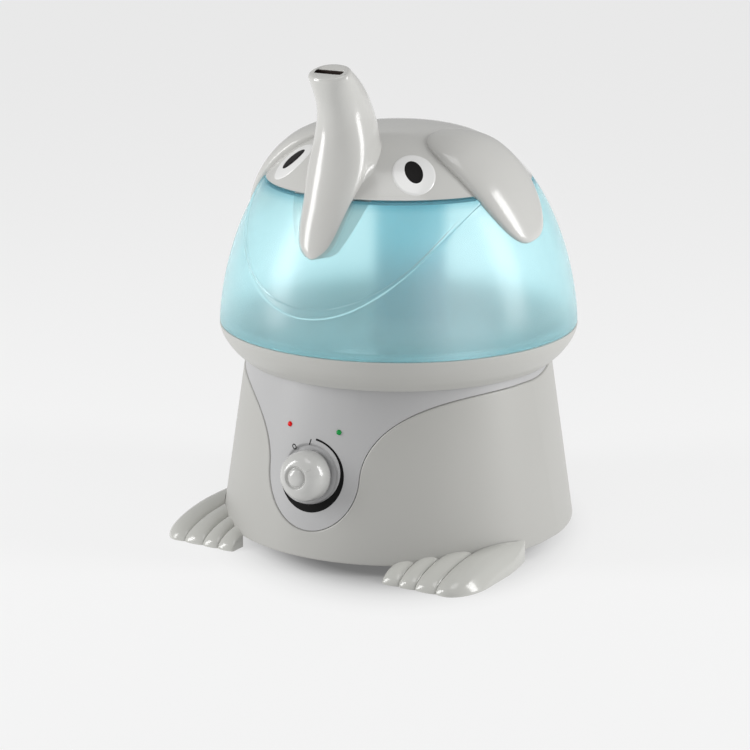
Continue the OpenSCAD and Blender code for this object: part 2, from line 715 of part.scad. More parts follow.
// Coil spring between the plunger's plate and the cage, as a helix of flat-faced wire
module valve_spring() {
    turns = 4;
    per_turn = 14;
    wire = 0.55;
    coil_r = 5.5;
    steps = turns * per_turn;
    rings = [for (i = [0:steps]) let (a = i * 360 / per_turn, z = wire + (spring_h - 2 * wire) * i / steps)
        [for (k = [0:5]) let (b = k * 60, r = coil_r + wire * cos(b)) [r * cos(a), r * sin(a), z + wire * sin(b)]]];
    color([0.7, 0.7, 0.72]) translate([valve_c.x, valve_c.y, spring_z]) loft(rings);
}

// ---------------------------------------------------------------- head

// Solid of revolution under the dome, grown outwards and upwards
module dome_solid(grow, z0) {
    edge = dome_profile(dome_t(z0), 90, grow);
    rotate_extrude() polygon(concat([[0, edge[0].y]], [for (p = edge) if (p.x > 0.01) p], [[0, apex_z + grow]]));
}

module head_shell() {
    skirt_r = upstand_r + gap;
    color([0.73, 0.73, 0.71]) difference() {
        union() {
            difference() {
                dome_solid(0, lid_z);
                dome_solid(-head_t, lid_z - 2);
            }
            intersection() {
                translate([0, 0, lid_z - seat_drop]) ring(skirt_r + 2, skirt_r, 8);
                dome_solid(-head_t / 2, lid_z - 4);
            }
        }
        translate([0, -68, lid_z + 8]) cylinder(r = 12.5, h = 60);
    }
}

// Trunk: sections at rising heights, each a superellipse from y_front to y_back
trunk_key = [
    // height above the seam, half width, front, back
    [63, 8, -113, -84], [66, 13, -114.5, -84], [72, 18, -114.5, -80], [82, 23, -112, -72], [95, 26, -107, -62],
    [108, 27, -102, -52], [121, 25.5, -97, -44], [136, 21.5, -93.5, -40], [151, 18.3, -93.5, -45],
    [164, 17, -95, -54], [175, 16.5, -98, -66], [trunk_h - 1.5, 16, -100, -76], [trunk_h, 14.5, -98.5, -79]];

function section(key, wall, sides) =
    [for (i = [0:sides - 1]) let (a = 360 * i / sides, n = 0.8,
        w = key[1] - wall, d = (key[3] - key[2]) / 2 - wall,
        lean = 0.22 * (key[3] - key[2]) * (key[0] > 150 ? (key[0] - 150) / 33 : 0))
        let (c = cos(a), s = sin(a),
            y = (key[2] + key[3]) / 2 + d * sign(s) * pow(abs(s), n))
        [w * sign(c) * pow(abs(c), n), y, seam_z + key[0] + lean * s]];

module trunk() {
    slot_w = 12.4;
    slot_y = -88.5;
    color([0.72, 0.72, 0.7]) difference() {
        loft([for (k = trunk_key) section(k, 0, 28)]);
        loft([for (i = [5:10]) section(trunk_key[i], trunk_t, 16)]);
        dome_solid(0.5, seam_z + 30);
        translate([-slot_w, slot_y - 1.7, seam_z + 165]) cube([2 * slot_w, 3.4, 40]);
    }
}

// Ear: a tapering strip that lies on the dome from the crown down its side
ear_x0 = 26;
ear_x1 = tank_r - 10.5;
function ear_mid(s) = mix(-12, -8, s);
function ear_half(s) = ear_w * sqrt(max(0, 1 - pow(abs(2 * s - 1), 3.2))) * mix(1.08, 0.86, s);
function ear_point(s, v, lift) =
    let (x = mix(ear_x0, ear_x1, s), y = ear_mid(s) + v * ear_half(s),
        r = norm([x, y]), t = dome_t_at(min(r, tank_r - 6)), n = dome_normal(t))
    [x * (1 + lift * n.x / r), y * (1 + lift * n.x / r), dome_z(t) + lift * n.y];

module right_ear_shape() {
    rows = 22;
    across = 12;
    rings = [for (i = [0:rows]) let (s = mix(0.004, 0.996, (1 - cos(180 * i / rows)) / 2)) concat(
        [for (k = [0:across]) let (v = mix(-1, 1, k / across))
            ear_point(s, v, 0.7 + ear_t * pow(1 - pow(abs(v), 4), 0.5) * pow(1 - pow(abs(2 * s - 1), 12), 0.5) + 0.6)],
        [for (k = [across:-1:0]) ear_point(s, mix(-1, 1, k / across), 0.6)])];
    loft(rings);
}

module right_ear() color([0.74, 0.74, 0.72]) right_ear_shape();
module left_ear() color([0.74, 0.74, 0.72]) mirror([1, 0, 0]) right_ear_shape();

// Eyes: elliptical discs laid on the dome
eye_a = 38.3;
eye_z = 116;
module eye_patch(s, half_w, half_l, low, high, turn = 0) {
    t = dome_t(seam_z + eye_z);
    slope = 47;
    p = polar(s * eye_a, dome_r(t));
    intersection() {
        difference() {
            dome_solid(high, lid_z - 5);
            dome_solid(low, lid_z - 8);
        }
        translate([p.x, p.y, seam_z + eye_z]) rotate([0, 0, s * eye_a]) rotate([90 - slope, 0, 0])
            rotate([0, 0, -s * turn]) translate([0, 0, -12]) linear_extrude(30)
            polygon([for (a = [0:10:350]) [half_w * cos(a), half_l * sin(a)]]);
    }
}

module left_eye() color("white") eye_patch(-1, 14.6, 17.4, hair, 0.6);
module right_eye() color("white") eye_patch(1, 14.6, 17.4, hair, 0.6);
module left_pupil() color("black") eye_patch(-1, 6, 9.8, 0.7, 1, 8);
module right_pupil() color("black") eye_patch(1, 6, 9.8, 0.7, 1, 8);

// ---------------------------------------------------------------- assembly

base_shell();
front_panel();
dial_marks();
basin();
bottom_cover();
left_foot();
right_foot();
rubber_pads();
cover_screws();
foot_screws();
fan_housing();
fan_rotor();
fan_duct();
transducer_disc();
transducer_seal();
transducer_holder();
holder_screws();
driver_board();
heat_sink();
power_board();
transformer();
capacitors();
cord_gland();
potentiometer();
pot_nut();
pot_shaft();
knob();
lamp_board();
red_lamp();
green_lamp();
float();
float_magnet();
float_clip();
level_switch();
tank_shell();
tank_floor();
chimney();
tank_cap();
cap_gasket();
valve_cage();
valve_plunger();
valve_seal();
valve_spring();
head_shell();
trunk();
left_ear();
right_ear();
left_eye();
right_eye();
left_pupil();
right_pupil();
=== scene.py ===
import math

import bmesh
import bpy
import numpy as np
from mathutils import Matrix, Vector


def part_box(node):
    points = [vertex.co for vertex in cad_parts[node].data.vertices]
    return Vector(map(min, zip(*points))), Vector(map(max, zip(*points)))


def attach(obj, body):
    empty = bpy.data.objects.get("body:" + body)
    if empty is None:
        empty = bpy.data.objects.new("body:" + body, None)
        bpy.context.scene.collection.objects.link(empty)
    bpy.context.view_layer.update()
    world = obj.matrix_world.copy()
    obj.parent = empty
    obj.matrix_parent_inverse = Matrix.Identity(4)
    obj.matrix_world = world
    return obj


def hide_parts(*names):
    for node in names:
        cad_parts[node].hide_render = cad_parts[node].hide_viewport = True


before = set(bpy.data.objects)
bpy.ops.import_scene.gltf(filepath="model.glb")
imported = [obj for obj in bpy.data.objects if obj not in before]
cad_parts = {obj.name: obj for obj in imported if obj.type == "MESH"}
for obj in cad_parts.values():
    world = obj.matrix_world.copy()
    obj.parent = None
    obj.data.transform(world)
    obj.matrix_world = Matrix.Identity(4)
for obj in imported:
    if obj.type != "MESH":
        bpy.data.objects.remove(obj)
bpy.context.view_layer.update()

# ---------------------------------------------------------------- sizes, in millimetres


def box_mm(node):
    """Lowest and highest corner of a CAD node in millimetres."""
    low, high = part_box(node)
    return np.array(low) * 1000, np.array(high) * 1000


PI = math.pi
casing_low, casing_high = box_mm("base_shell")
tank_low, tank_high = box_mm("tank_shell")
head_high = box_mm("head_shell")[1]

STAND = casing_low[2]              # the casing's lower edge
COLLAR = casing_high[2]            # the casing's upper edge, under the bowl
BASE_R = casing_high[0]            # the casing's radius at its lower edge
NECK_R = BASE_R - 17.3             # and at its upper edge
TAPER = (BASE_R - NECK_R) / (COLLAR - STAND)
TILT = math.atan(TAPER)            # lean of the casing's side
WALL = 3.0                         # thickness of the casing's side
LOW_ROUND = 0.9                    # rounding of the casing's lower edge
BACK_TURN = math.radians(118)      # where the panel's edge has risen to the neck

SEAM = tank_low[2]                 # where the tank meets the bowl
TANK_R = tank_high[0]
DOME_H = head_high[2] - SEAM       # height of the dome that the tank and the head share
DOME_P = 2 / 0.649                 # the dome's powers, along its radius
DOME_Q = 1.253 / 2                 # and along its height
DOME_WALL = 2.5                    # thickness of the tank and of the head
DECK = SEAM + 99.5                 # top face of the tank, under the head
LID = DECK + 1.0                   # lower edge of the head
CHIMNEY = (0, 16)                  # the chimney's hole in the deck
CHIMNEY_R = 25.15

DIAL_Z = COLLAR - 61.0             # height of the dial's centre
TONGUE_W = 36.0                    # the panel's half width beside the dial
TONGUE_H = 38.0                    # and its reach below the dial's centre
FLARE_W = NECK_R - TONGUE_W + 0.8  # how far its edge swings out above the dial
FLARE_H = COLLAR - 6 - DIAL_Z
SINK = 0.7                         # depth of the panel's face under the casing's
DISC_R = 30.0                      # patch of the panel that is laid out round the dial
RECESS_R = 21.8                    # recess under the knob
RECESS_DEPTH = 1.3
OPENED = 26                        # grid steps of the panel that open round half the disc
LAMP_X = 19.6                      # the lamps beside and above the dial's centre
LAMP_UP = 31.5

CAMERA_TURN = math.radians(31)     # the camera's place, from the front towards the right


# ---------------------------------------------------------------- meshes


def smoothstep(x, low=0.0, high=1.0):
    """Rises from 0 to 1 between low and high as 3t^2 - 2t^3."""
    t = np.clip((x - low) / (high - low), 0, 1)
    return t * t * (3 - 2 * t)


def mix(a, b, t):
    """Straight blend from a to b."""
    return a + (b - a) * t


def signed_power(x, p):
    """|x| to the power p, with x's sign, which makes a superellipse from cosine and sine."""
    return np.sign(x) * np.abs(x) ** p


def through(keys, x):
    """Smooth curve through keys of (place, value...), as cubic pieces whose slope at each key is
    the mean of the slopes on its two sides."""
    keys = np.array(keys, float)
    place = keys[:, 0]
    value = keys[:, 1:]
    slope = np.diff(value, axis=0) / np.diff(place)[:, None]
    slopes = np.vstack([slope[:1], (slope[1:] + slope[:-1]) / 2, slope[-1:]])
    x = np.clip(np.asarray(x, float), place[0], place[-1])
    i = np.clip(np.searchsorted(place, x, side="right") - 1, 0, len(place) - 2)
    step = place[i + 1] - place[i]
    t = ((x - place[i]) / step)[..., None]
    step = step[..., None]
    near = (2 * t**3 - 3 * t**2 + 1) * value[i] + (t**3 - 2 * t**2 + t) * step * slopes[i]
    far = (3 * t**2 - 2 * t**3) * value[i + 1] + (t**3 - t**2) * step * slopes[i + 1]
    return near + far


def polar(angle, radius, height):
    """Points at an angle from the front towards +X, a radius from the axis, and a height."""
    angle, radius, height = np.broadcast_arrays(angle, radius, height)
    return np.stack([radius * np.sin(angle), -radius * np.cos(angle), height], -1)


def mirrored(points, side=-1):
    """The same points on a side of the plane x = 0: -1 swaps the sides, and 1 leaves them."""
    return points * np.array([side, 1, 1])


def placed(name, data):
    """A new object in the scene."""
    thing = bpy.data.objects.new(name, data)
    bpy.context.scene.collection.objects.link(thing)
    return thing


def grid_faces(rows, columns, wrap_rows, wrap_columns):
    """Quads between the neighbours of a rows by columns grid, joined round where it wraps."""
    i = np.arange(rows if wrap_rows else rows - 1)
    j = np.arange(columns if wrap_columns else columns - 1)
    i, j = np.meshgrid(i, j, indexing="ij")
    k = (i + 1) % rows
    m = (j + 1) % columns
    return np.stack([i * columns + j, k * columns + j, k * columns + m, i * columns + m], -1)


class Piece:
    """A piece of the object that grows from one or more closed grids of points."""

    def __init__(self, name):
        self.name = name
        self.points = []
        self.faces = []
        self.paint = []
        self.count = 0

    def add(self, points, wrap_rows=False, wrap_columns=False, keep=None, second=None):
        """Adds a grid; keep tells which of its quads stay, by row and column, and second is the
        row from which its quads take the piece's second material."""
        rows, columns = points.shape[:2]
        quads = grid_faces(rows, columns, wrap_rows, wrap_columns)
        paint = np.zeros(quads.shape[:2], int)
        if second is not None:
            paint[second:] = 1
        if keep is not None:
            quads = quads[keep]
            paint = paint[keep]
        self.faces.append(quads.reshape(-1, 4) + self.count)
        self.paint.append(paint.reshape(-1))
        self.points.append(points.reshape(-1, 3))
        self.count += rows * columns
        return self

    def make(self, body, material, replaces, slot, sharp=50, second=None):
        """Builds the mesh in metres, merges its seams and poles, and turns its faces outwards.
        Edges that turn by more than sharp degrees stay crisp."""
        mesh = bpy.data.meshes.new(self.name)
        points = np.vstack(self.points) / 1000
        mesh.from_pydata(points.tolist(), [], np.vstack(self.faces).tolist())
        mesh.polygons.foreach_set("material_index", np.concatenate(self.paint))
        work = bmesh.new()
        work.from_mesh(mesh)
        bmesh.ops.remove_doubles(work, verts=work.verts, dist=2e-6)
        bmesh.ops.dissolve_degenerate(work, edges=work.edges, dist=1e-6)
        bmesh.ops.recalc_face_normals(work, faces=work.faces)
        work.to_mesh(mesh)
        work.free()
        mesh.shade_smooth()
        mesh.set_sharp_from_angle(angle=math.radians(sharp))
        mesh.materials.append(material)
        if second:
            mesh.materials.append(second)
        thing = placed(self.name, mesh)
        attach(thing, body)
        if replaces:
            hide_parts(*replaces)


def turned(profile, columns=192, centre=(0, 0)):
    """Profile points (radius, height) carried round the upright axis through a centre."""
    profile = np.array(profile, float)
    angle = np.linspace(0, 2 * PI, columns, endpoint=False)
    points = polar(angle[None, :], profile[:, :1], profile[:, 1:])
    return points + np.array([centre[0], centre[1], 0])


# ---------------------------------------------------------------- materials


class Wire:
    """One value in a material. Sums, differences and products of wires add Math nodes; > gives 0
    or 1, and % is a zigzag that rises and falls between 0 and the other value."""

    def __init__(self, finish, socket):
        self.finish = finish
        self.socket = socket

    def maths(self, operation, *values):
        """Adds a Math node."""
        return self.finish.node("ShaderNodeMath", {"operation": operation}, *values)

    def __add__(self, other):
        return self.maths("ADD", self, other)

    def __sub__(self, other):
        return self.maths("SUBTRACT", self, other)

    def __rsub__(self, other):
        return self.maths("SUBTRACT", other, self)

    def __mul__(self, other):
        return self.maths("MULTIPLY", self, other)

    def __gt__(self, other):
        return self.maths("GREATER_THAN", self, other)

    def __mod__(self, other):
        return self.maths("PINGPONG", self, other)

    __radd__ = __add__
    __rmul__ = __mul__


class Finish:
    """A material in the making: its nodes, and its Principled shader's sockets by name."""

    def __init__(self, name):
        self.material = bpy.data.materials.new(name)
        self.material.use_nodes = True
        self.tree = self.material.node_tree
        self.tree.nodes.clear()
        self.output = self.tree.nodes.new("ShaderNodeOutputMaterial")
        self.shader = self.tree.nodes.new("ShaderNodeBsdfPrincipled")
        self.tree.links.new(self.shader.outputs[0], self.output.inputs["Surface"])
        place = self.tree.nodes.new("ShaderNodeTexCoord")
        self.place = Wire(self, place.outputs["Object"])

    def put(self, socket, value):
        """Links a wire to a socket, or sets the socket to a plain value."""
        if isinstance(value, Wire):
            self.tree.links.new(value.socket, socket)
        elif isinstance(value, tuple) and len(value) == 3 and socket.type == "RGBA":
            socket.default_value = (*value, 1)
        else:
            socket.default_value = value

    def node(self, kind, settings=None, *values, output=0, **named):
        """Adds a node: its settings first, then its inputs in order, then those by name."""
        new = self.tree.nodes.new(kind)
        for key, value in (settings or {}).items():
            if key == "stops":
                self.set_stops(new.color_ramp, value)
            else:
                setattr(new, key, value)
        for socket, value in zip(new.inputs, values):
            if value is not None:
                self.put(socket, value)
        for key, value in named.items():
            self.put(new.inputs[key.replace("_", " ")], value)
        return Wire(self, new.outputs[output])

    def vector(self, operation, *values, **more):
        """Adds a Vector Math node."""
        return self.node("ShaderNodeVectorMath", {"operation": operation}, *values, **more)

    def set_stops(self, ramp, stops):
        """Gives a colour ramp its stops of (place, colour)."""
        while len(ramp.elements) < len(stops):
            ramp.elements.new(0.5)
        for element, (at, colour) in zip(ramp.elements, stops):
            element.position = at
            element.color = (*colour, 1)

    def noise(self, size, detail=2.0, stretch=None):
        """Noise from 0 to 1 whose lumps are about size millimetres across."""
        place = self.place
        if stretch:
            place = self.node("ShaderNodeMapping", None, place, Scale=stretch)
        return self.node("ShaderNodeTexNoise", None, place, Scale=1000 / size, Detail=detail)

    def blend(self, share, first, second):
        """A colour between two others, by a share from 0 to 1."""
        new = self.tree.nodes.new("ShaderNodeMix")
        new.data_type = "RGBA"
        self.put(new.inputs["Factor"], share)
        self.put(new.inputs["A"], first)
        self.put(new.inputs["B"], second)
        return Wire(self, new.outputs["Result"])

    def glow(self, centre, reach, squeeze):
        """Soft blob, 1 at its centre in millimetres and 0 at its reach, drawn out along z."""
        centre = tuple(c / 1000 for c in centre)
        off = self.vector("SUBTRACT", self.place, centre)
        off = self.vector("MULTIPLY", off, (1, 1, squeeze))
        length = self.vector("LENGTH", off, output="Value")
        return self.node(
            "ShaderNodeMapRange", {"interpolation_type": "SMOOTHERSTEP"}, length,
            0.0, reach / 1000, 1.0, 0.0)

    def bump(self, height, depth, strength=1.0):
        """A Normal wire for a surface whose height goes from 0 to 1 over depth millimetres."""
        return self.node("ShaderNodeBump", None, Strength=strength, Distance=depth / 1000, Height=height)

    def shade(self, **named):
        """Sets the Principled shader's sockets and gives back the material."""
        for key, value in named.items():
            self.put(self.shader.inputs[key.replace("_", " ")], value)
        return self.material


def scaled(colour, share):
    """A colour times a plain number."""
    return tuple(min(1.0, c * share) for c in colour)


def moulded(name, colour, roughness, grain, depth, coat=0.0, cloud=0.03, shine=0.5):
    """Moulded plastic: a fine spark-eroded grain, and slow clouds in its colour and gloss."""
    finish = Finish(name)
    slow = finish.noise(60, 3)
    fine = finish.noise(grain, 3)
    return finish.shade(
        Base_Color=finish.blend(slow, scaled(colour, 1 - cloud), scaled(colour, 1 + cloud)),
        Roughness=roughness + (slow - 0.5) * 0.1 + (fine - 0.5) * 0.08,
        Normal=finish.bump(fine, depth),
        Coat_Weight=coat,
        Coat_Roughness=0.06,
        Specular_IOR_Level=shine,
    )


def rubber(name, colour):
    """Soft rubber: matt, with a fine pebbled skin and a little bloom."""
    finish = Finish(name)
    fine = finish.noise(0.5, 4)
    slow = finish.noise(12, 2)
    return finish.shade(
        Base_Color=finish.blend(slow, scaled(colour, 0.8), scaled(colour, 1.25)),
        Roughness=0.62 + fine * 0.25,
        Normal=finish.bump(fine, 0.05),
    )


def metal(name, colour, roughness, stretch, lines=0.25):
    """Bare metal: brushed lines that run along one direction, brighter and duller by turns."""
    finish = Finish(name)
    brushed = finish.noise(lines, 5, stretch)
    slow = finish.noise(9, 2)
    return finish.shade(
        Base_Color=finish.blend(slow, scaled(colour, 0.88), colour),
        Metallic=1.0,
        Roughness=roughness + brushed * 0.18,
        Normal=finish.bump(brushed, 0.01),
    )


def circuit_board(name):
    """Green solder mask over copper: tracks in two directions and bright round pads."""
    finish = Finish(name)
    x = finish.node("ShaderNodeSeparateXYZ", None, finish.place)
    y = Wire(finish, x.socket.node.outputs[1])
    wander = finish.noise(14, 0)
    across = ((x * 1000 + wander * 8) % 1.4) > 0.95
    along = ((y * 1000 + wander * 8) % 1.4) > 1.05
    tracks = finish.node("ShaderNodeMath", {"operation": "MAXIMUM"}, across, along)
    spots = finish.node("ShaderNodeTexVoronoi", None, finish.place, None, 260.0)
    pads = 1 - (spots > 0.16)
    mask = finish.blend(tracks, (0.012, 0.10, 0.035), (0.02, 0.19, 0.06))
    return finish.shade(
        Base_Color=finish.blend(pads, mask, (0.62, 0.60, 0.55)),
        Metallic=pads * 0.8,
        Roughness=0.38 - pads * 0.1,
        Normal=finish.bump(tracks, 0.05),
        Coat_Weight=0.4,
    )


def wound(name):
    """Transformer: stacked iron sheets seen from the side, with a lacquered, mottled face."""
    dark = (0.20, 0.13, 0.05)
    finish = Finish(name)
    sheets = finish.node(
        "ShaderNodeTexWave", {"bands_direction": "Z"}, finish.place, 900.0, 0.6, 2.0, output=1)
    mottle = finish.noise(3, 4)
    tint = finish.blend(mottle, dark, (0.42, 0.27, 0.10))
    return finish.shade(
        Base_Color=finish.blend(sheets, scaled(dark, 0.7), tint),
        Roughness=0.35 + mottle * 0.25,
        Normal=finish.bump(sheets, 0.08),
        Coat_Weight=0.35,
    )


def lens(name, colour):
    """Lamp: a small clear coloured dome with a brighter heart."""
    finish = Finish(name)
    facing = finish.node("ShaderNodeLayerWeight", None, 0.45, output=1)
    cloudy = finish.noise(0.8, 2)
    return finish.shade(
        Base_Color=finish.blend(facing, colour, scaled(colour, 0.45)),
        Roughness=0.18 + cloudy * 0.1,
        Emission_Color=finish.blend(facing, colour, scaled(colour, 0.3)),
        Emission_Strength=0.25,
        Specular_IOR_Level=0.3,
    )


def frosted(name, colour, roughness, haze, share, light, painted_glows=(), painted_shades=()):
    """Frosted tinted plastic: rough see-through walls, under a pearly haze that scatters light
    on both sides, with a fine grain. The haze takes a share of the surface, and light is how
    strongly it shines as painted light, since the plastic is no lamp. Pale blobs of painted
    light add to that, and painted shade deepens its colour towards the heights of its bands."""
    finish = Finish(name)
    fine = finish.noise(1.1, 2)
    slow = finish.noise(45, 2)
    tint = finish.blend(slow, scaled(colour, 0.985), scaled(colour, 1.015))
    milk = finish.blend(slow, scaled(haze, 0.97), scaled(haze, 1.03))
    # painted light: pale blobs that brighten the glow and whiten its colour
    pale = slow * 0.0
    for strength, *blob in painted_glows:
        pale = pale + finish.glow(*blob) * strength
    lit = finish.blend(pale * 0.6, haze, (0.93, 0.96, 1.0))
    level = finish.node("ShaderNodeSeparateXYZ", None, finish.place, output=2)
    # painted shade: each band deepens the colour and dims the glow towards its height
    for height, reach, strength, deep in painted_shades:
        near = finish.node(
            "ShaderNodeMapRange", {"interpolation_type": "SMOOTHSTEP"}, level,
            (height + reach) / 1000, height / 1000, 0.0, strength)
        tint = finish.blend(near, tint, deep)
        milk = finish.blend(near, milk, deep)
        lit = finish.blend(near, lit, scaled(deep, 0.3))
    normal = finish.bump(fine, 0.004)
    # the emission is painted light, as the plastic is no lamp
    finish.shade(
        Base_Color=tint,
        Roughness=roughness + (slow - 0.5) * 0.05 + (fine - 0.5) * 0.04,
        Transmission_Weight=1.0,
        IOR=1.42,
        Normal=normal,
        Emission_Color=finish.vector("SCALE", lit, Scale=pale + 1.0),
        Emission_Strength=light,
    )
    if share == 0:
        return finish.material
    pearl = finish.node("ShaderNodeBsdfTranslucent", None, milk, normal)
    skin = finish.node("ShaderNodeBsdfDiffuse", None, milk, 0.3, normal)
    both = finish.node("ShaderNodeMixShader", None, 0.35, pearl, skin)
    clear = Wire(finish, finish.shader.outputs[0])
    seen = finish.node("ShaderNodeMixShader", None, share, clear, both)
    finish.put(finish.output.inputs["Surface"], seen)
    return finish.material


# Moulded finishes: name, colour, roughness, size and depth of the grain in millimetres
casing_grey = moulded("casing_plastic", (0.455, 0.452, 0.430), 0.42, 0.5, 0.010)
panel_grey = moulded("panel_plastic", (0.455, 0.455, 0.458), 0.40, 0.5, 0.008)
bowl_grey = moulded("bowl_plastic", (0.49, 0.488, 0.465), 0.36, 0.6, 0.006)
head_grey = moulded("head_plastic", (0.575, 0.572, 0.550), 0.20, 2.5, 0.006, coat=0.3)
foot_grey = moulded("foot_plastic", (0.53, 0.53, 0.50), 0.20, 2.5, 0.006, coat=0.4)
knob_grey = moulded("knob_plastic", (0.54, 0.54, 0.525), 0.20, 2.0, 0.005, coat=0.5)
cover_grey = moulded("cover_plastic", (0.34, 0.34, 0.335), 0.52, 0.8, 0.03)
print_black = moulded("black_print", (0.003, 0.003, 0.003), 0.5, 0.3, 0.004, cloud=0.3, shine=0.12)
eye_white = moulded("eye_white", (0.80, 0.80, 0.79), 0.22, 2.0, 0.004, coat=0.4, cloud=0.01)
pupil_black = moulded("pupil_black", (0.004, 0.003, 0.003), 0.45, 1.0, 0.006, cloud=0.3, shine=0.15)
# the inside of the trunk's slot: near-black painted shade where the grey plastic lies in shadow
slot_painted_shade = moulded("slot_shadow_paint", (0.030, 0.016, 0.012), 0.6, 1.0, 0.01, cloud=0.5)
pad_rubber = rubber("pad_rubber", (0.025, 0.025, 0.026))
seal_rubber = rubber("seal_rubber", (0.05, 0.05, 0.055))
gasket_rubber = rubber("gasket_rubber", (0.55, 0.55, 0.54))
steel = metal("screw_steel", (0.62, 0.62, 0.64), 0.18, (1, 1, 8))
cast_metal = metal("cast_aluminium", (0.70, 0.71, 0.73), 0.34, (1, 1, 1), 0.8)
pot_metal = metal("plated_metal", (0.50, 0.50, 0.52), 0.24, (6, 1, 1))
magnet_metal = metal("magnet_metal", (0.10, 0.10, 0.11), 0.45, (1, 1, 1), 0.6)
ceramic = moulded("ceramic", (0.62, 0.56, 0.38), 0.35, 0.4, 0.01, cloud=0.08)
fan_black = moulded("fan_plastic", (0.02, 0.02, 0.022), 0.38, 0.7, 0.02, cloud=0.2)
duct_white = moulded("duct_plastic", (0.62, 0.62, 0.60), 0.45, 0.8, 0.02)
float_white = moulded("float_plastic", (0.78, 0.78, 0.77), 0.35, 0.8, 0.01)
cap_white = moulded("cap_plastic", (0.62, 0.68, 0.70), 0.32, 0.8, 0.01)
board_green = circuit_board("circuit_board")
transformer_wound = wound("transformer_stack")
sleeve_blue = moulded("capacitor_sleeve", (0.02, 0.035, 0.09), 0.22, 1.5, 0.01, coat=0.5, cloud=0.2)
red_lens = lens("red_lens", (0.70, 0.001, 0.001))
green_lens = lens("green_lens", (0.001, 0.25, 0.045))
# Blobs of painted light in the tank's glow: strength, centre, reach, and how far z is drawn out
TANK_PAINTED_GLOWS = [
    (0.8, (-23, -116, 192), 58, 0.8), (2.3, (94, -74, 186), 52, 0.4),
    (0.7, (118, -14, 214), 60, 0.5), (0.4, (-105, -62, 200), 60, 0.6),
    (0.9, (60, 105, 195), 70, 0.5), (0.9, (-60, 105, 195), 70, 0.5)]
# Painted shade, a deeper colour towards a height: height, reach, strength, colour
# in the tank: a painted shadow under the head, and painted shade down towards the bowl
TANK_PAINTED_SHADES = [
    (DECK + 1, -9, 0.75, (0.12, 0.46, 0.58)), (SEAM - 3, 24, 0.55, (0.34, 0.60, 0.64))]
# in the chimney: painted shade towards its lower end, and a paler colour below the seam
CHIMNEY_PAINTED_SHADES = [
    (SEAM + 12, 50, 0.9, (0.02, 0.30, 0.40)), (SEAM - 8, 12, 0.8, (0.40, 0.62, 0.66))]
# the tank's wall shines faintly as painted light, with blobs of painted light and bands of painted shade
tank_blue = frosted(
    "tank_frost", (0.72, 0.91, 0.93), 0.24, (0.64, 0.86, 0.89), share=0.26, light=0.06,
    painted_glows=TANK_PAINTED_GLOWS, painted_shades=TANK_PAINTED_SHADES)
# the tank's inner face shines more strongly, as painted light
tank_inner = frosted(
    "tank_inside", (0.76, 0.92, 0.94), 0.24, (0.60, 0.90, 0.95), share=0, light=0.18)
# the chimney shines as painted light, with painted shade deeper towards its lower end
chimney_blue = frosted(
    "chimney_frost", (0.30, 0.74, 0.82), 0.30, (0.22, 0.72, 0.80), share=0.6, light=0.26,
    painted_shades=CHIMNEY_PAINTED_SHADES)

CAD_FINISHES = [
    (bowl_grey, "basin"),
    (cover_grey, "bottom_cover"),
    (pad_rubber, "rubber_pads", "cord_gland"),
    (seal_rubber, "transducer_seal", "valve_seal"),
    (gasket_rubber, "cap_gasket"),
    (steel, "cover_screws", "foot_screws", "holder_screws", "pot_nut", "pot_shaft", "float_clip",
     "valve_spring"),
    (cast_metal, "transducer_holder", "heat_sink"),
    (pot_metal, "potentiometer"),
    (magnet_metal, "float_magnet"),
    (ceramic, "transducer_disc"),
    (fan_black, "fan_housing", "fan_rotor"),
    (duct_white, "fan_duct"),
    (float_white, "float"),
    (cap_white, "tank_cap", "valve_cage", "valve_plunger"),
    (board_green, "driver_board", "power_board", "lamp_board", "level_switch"),
    (transformer_wound, "transformer"),
    (sleeve_blue, "capacitors"),
    (tank_blue, "tank_floor"),
    (chimney_blue, "chimney"),
]
for material, *nodes in CAD_FINISHES:
    for node in nodes:
        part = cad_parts[node]
        part.data.materials.clear()
        part.data.materials.append(material)

# ---------------------------------------------------------------- casing and panel


def casing_r(z):
    """Radius of the casing's cone at a height."""
    return BASE_R - TAPER * (z - STAND)


def on_casing(angle, z, depth=0.0):
    """A point of the casing's cone, sunk by a depth below its surface."""
    return polar(angle, casing_r(z) - depth, z)


def row(angle, z, depth):
    """One row of a grid on the cone: the angles, heights and depths of its points."""
    return np.stack(np.broadcast_arrays(angle, z, depth), -1)


def on_cone(rows):
    """The points of rows of angles, heights and depths."""
    rows = np.stack(rows)
    return on_casing(rows[..., 0], rows[..., 1], rows[..., 2])


def angle_at(x, z):
    """Angle from the front at which the cone's surface has a given x."""
    return np.arcsin(np.clip(x / casing_r(z), -1, 1))


def seam_line():
    """The edge of the panel on the right half, from the bottom of its tongue to the back, as
    angles and heights: a quarter ellipse, a quarter ellipse that turns outwards, a short rise
    to the neck, and then the neck itself."""
    a = np.linspace(-PI / 2, 0, 34)
    tongue_x = TONGUE_W * np.cos(a)
    tongue_z = DIAL_Z + TONGUE_H * np.sin(a)
    b = np.linspace(0, PI / 2, 40)[1:]
    flare_x = TONGUE_W + FLARE_W * (1 - np.cos(b))
    flare_z = DIAL_Z + FLARE_H * np.sin(b)
    x = np.concatenate([tongue_x, flare_x])
    z = np.concatenate([tongue_z, flare_z])
    angle = angle_at(x, z)
    rise = np.linspace(angle[-1], BACK_TURN, 16)[1:]
    rise_z = z[-1] + (COLLAR - z[-1]) * smoothstep(rise, angle[-1], rise[-1]) ** 1.3
    back = np.linspace(rise[-1], PI, 30)[1:]
    angle = np.concatenate([angle, rise, back])
    z = np.concatenate([z, rise_z, np.full(back.shape, COLLAR)])
    return angle, z


def offset(angle, z, distance):
    """The line moved sideways over the cone by a distance, away from the panel."""
    r = casing_r(z)
    du = np.gradient(angle) * r
    dz = np.gradient(z)
    length = np.hypot(du, dz)
    return angle + distance * dz / length / r, z - distance * du / length


